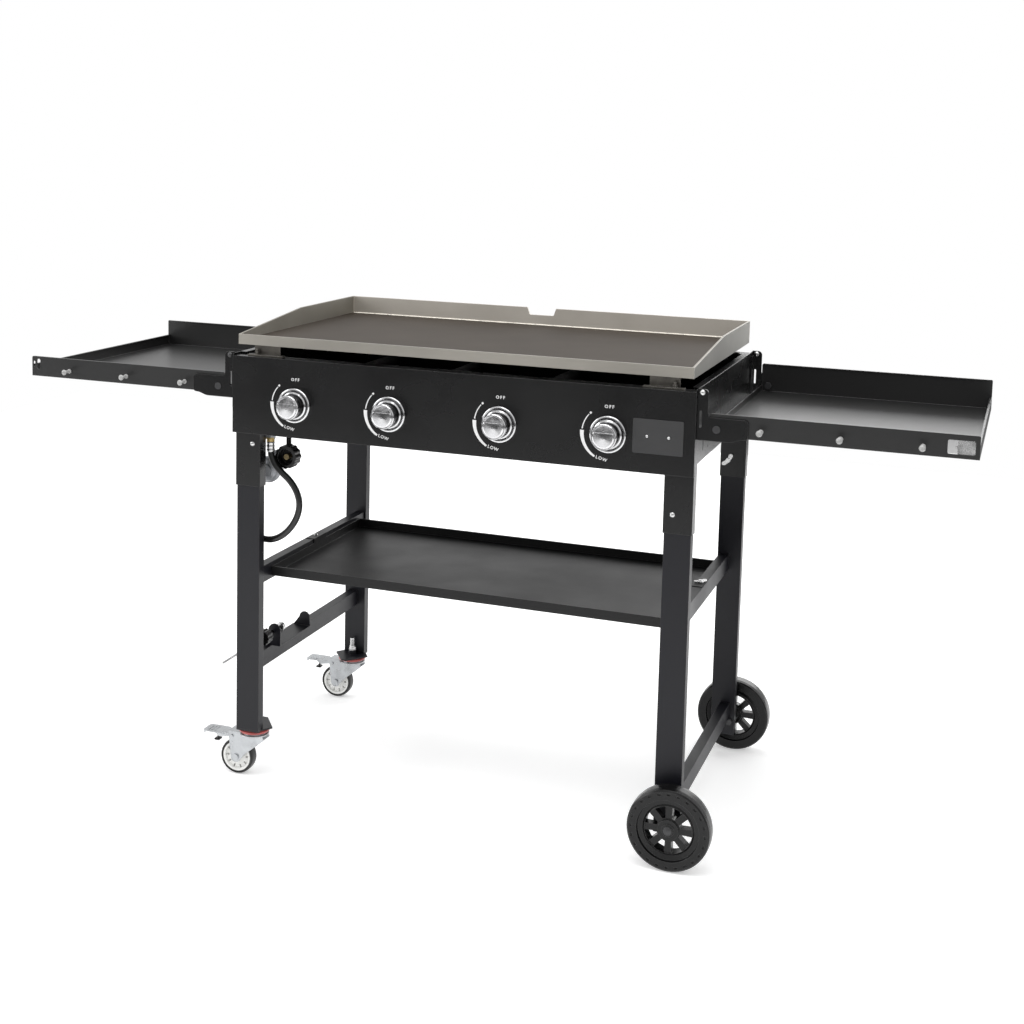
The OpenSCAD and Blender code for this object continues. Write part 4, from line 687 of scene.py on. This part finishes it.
def copies(name, pattern, places, material, body):
    """Makes one plain mesh with a copy of the pattern at each place, riding on a body."""
    points = bpy.data.meshes.new(name + "_places")
    points.from_pydata([tuple(p) for p in places], [], [])
    carrier = bpy.data.objects.new(name + "_places", points)
    scene.collection.objects.link(carrier)
    modifier = carrier.modifiers.new("copies", "NODES")
    modifier.node_group, pattern_in = copying_tree(name, material)
    modifier[pattern_in] = pattern
    bpy.context.view_layer.update()
    solid = carrier.evaluated_get(bpy.context.evaluated_depsgraph_get())
    mesh = bpy.data.meshes.new_from_object(solid)
    mesh.name = name
    bpy.data.objects.remove(carrier)
    piece = add_piece(mesh, material, body)
    print(name + ":", len(places), "copies,", len(mesh.polygons), "faces")


# The marks of the four dials, a tenth of a millimetre in front of the panel.
KNOBS = (-327, -126, 97, 306)  # x of each dial, in millimetres
KNOB_Z = 787
MARKS_Y = -10.12
white_print = finish("white_print", (0.8, 0.8, 0.8), 0.5, drift=0.03, grain=0.02)
copies("dial_marks", dial_pattern, [at(x, MARKS_Y, KNOB_Z) for x in KNOBS], white_print, "cart")

# %% [markdown]
# ## Burner ports
# The flames come out of two rows of small ports, one along each side of a tube, a little above its middle. They're
# too many to drill in the CAD model, and are dark discs a hair in front of the tube's skin.

# %% Ports
# The ports are dark discs of painted shade, standing for the holes' dark insides.
port_shade = finish("port_shadow", (0.01, 0.01, 0.01), 0.8, drift=0.1, grain=0.02)
# Millimetres, and degrees above the level.
TUBE_R = 16.0
TUBE_Z = KNOB_Z + 22
PORT_RADIUS = 1.3
PORT_LIFT = 0.08
PORT_ANGLE = 22
FIRST_PORT, PORT_PITCH, PORTS_IN_ROW = 110, 8, 44


def disc_object(name, radius, normal, sides=8):
    """A small flat disc round the origin, facing along normal, with its radius in millimetres."""
    across = normal.orthogonal().normalized()
    along = normal.cross(across)
    ring = []
    for k in range(sides):
        a = 2 * math.pi * k / sides
        ring.append(radius / 1000 * (math.cos(a) * across + math.sin(a) * along))
    mesh = bpy.data.meshes.new(name)
    mesh.from_pydata(ring, [], [tuple(range(sides))])
    return bpy.data.objects.new(name, mesh)


for side, label in ((1, "right"), (-1, "left")):
    a = math.radians(PORT_ANGLE)
    normal = Vector((side * math.cos(a), 0, math.sin(a)))
    places = [at(x, FIRST_PORT + PORT_PITCH * k, TUBE_Z) + normal * (TUBE_R + PORT_LIFT) / 1000
              for x in KNOBS for k in range(PORTS_IN_ROW)]
    port = disc_object("port_" + label, PORT_RADIUS, normal)
    copies("ports_" + label, port, places, port_shade, "cart")

# %% [markdown]
# ## The weld at the back wall
# The back wall is welded to the plate along its foot, and the bead is a row of overlapping ripples. One ripple is a
# small flattened ball, and the copying tree sets it at every step along the foot.

# %% Weld bead
weld_metal = finish("weld_metal", (0.8, 0.77, 0.7), 0.3, metal=0.9, drift=0.15, drift_scale=80, grain=0.05)
WELD_Y = WALL_FACE + 0.0003
# Millimetres along the foot, and half a ripple's size on each axis.
WELD_END = 451
RIPPLE_STEP = 2.6
RIPPLE_SIZES = (1.9, 2.4, 2.4)


def ball_object(name, sizes):
    """A small faceted ball with its own half size along each axis, in millimetres."""
    ball = bmesh.new()
    bmesh.ops.create_icosphere(ball, subdivisions=1, radius=0.001)
    bmesh.ops.scale(ball, vec=sizes, verts=ball.verts)
    mesh = bpy.data.meshes.new(name)
    ball.to_mesh(mesh)
    ball.free()
    for polygon in mesh.polygons:
        polygon.use_smooth = True
    return bpy.data.objects.new(name, mesh)


ripples = int(2 * WELD_END / RIPPLE_STEP)
weld_places = [Vector((-WELD_END / 1000 + k * RIPPLE_STEP / 1000, WELD_Y, PLATE_TOP)) for k in range(ripples)]
copies("weld_bead", ball_object("weld_ripple", RIPPLE_SIZES), weld_places, weld_metal, "griddle")

# %% [markdown]
# ## Threads on the caster stems
# Each stem ends in a thread above its nut. A thread this small reads as a stack of rings, so one ring is copied up
# the stem at the pitch of the thread.

# %% Threads
# Millimetres: where the two stems stand, and their threads.
STEM_X = -436.2
SWIVEL_Y = (35.0, 505.2)
THREAD_LOW, THREAD_HIGH, PITCH = 127, 143, 1.5
THREAD_RADIUS, THREAD_WIDTH = 4.95, 1.4


def ring_object(name, radius, thickness, sides=20):
    """A thin ring round the Z axis with a pointed edge, sizes in millimetres."""
    verts, faces = [], []
    for k in range(sides):
        a = 2 * math.pi * k / sides
        for r, z in ((radius, -thickness / 2), (radius + thickness * 0.4, 0), (radius, thickness / 2)):
            verts.append((r * math.cos(a) / 1000, r * math.sin(a) / 1000, z / 1000))
    for k in range(sides):
        i, j = 3 * k, 3 * ((k + 1) % sides)
        faces += [(i, j, j + 1, i + 1), (i + 1, j + 1, j + 2, i + 2)]
    mesh = bpy.data.meshes.new(name)
    mesh.from_pydata(verts, [], faces)
    return bpy.data.objects.new(name, mesh)


thread_places = [at(STEM_X, y, THREAD_LOW + PITCH * k) for y in SWIVEL_Y
                 for k in range(int((THREAD_HIGH - THREAD_LOW) / PITCH))]
thread_ring = ring_object("thread_ring", THREAD_RADIUS, THREAD_WIDTH)
copies("stem_threads", thread_ring, thread_places, bolt_plate, "cart")

# %% [markdown]
# ## Brake shoes
# Under each pedal hangs a small black shoe, a strut with a rounded block, which turns with the pedal. It is made
# in the caster's own directions, and then turned to the caster's heading and moved to its stem.

# %% Shoes
HEADING = math.radians(181)  # the way both casters point at rest
SHOE_BLOCK = (78, -7, 62), (90, 7, 66)
SHOE_STRUT = (81, -4, 64), (84, 4, 76)


def block(low, high, bevel):
    """A mesh box between two corners in millimetres, with rounded edges."""
    box = bmesh.new()
    bmesh.ops.create_cube(box, size=1)
    bmesh.ops.scale(box, vec=[(b - a) / 1000 for a, b in zip(low, high)], verts=box.verts)
    bmesh.ops.translate(box, vec=[(a + b) / 2000 for a, b in zip(low, high)], verts=box.verts)
    bmesh.ops.bevel(box, geom=box.edges[:], offset=bevel / 1000, segments=3, profile=0.5, affect="EDGES")
    mesh = bpy.data.meshes.new("block")
    box.to_mesh(mesh)
    box.free()
    return mesh


for label, y in zip(("front", "rear"), SWIVEL_Y):
    shoe = bmesh.new()
    shoe.from_mesh(block(*SHOE_BLOCK, bevel=1.5))
    shoe.from_mesh(block(*SHOE_STRUT, bevel=0.8))
    mesh = bpy.data.meshes.new("brake_shoe_" + label)
    shoe.to_mesh(mesh)
    shoe.free()
    mesh.transform(Matrix.Translation(at(STEM_X, y, 0)) @ Matrix.Rotation(HEADING, 4, "Z"))
    piece = add_piece(mesh, wheel_moulding, "pedal_" + label)
    print(piece.name + ":", len(mesh.polygons), "faces")
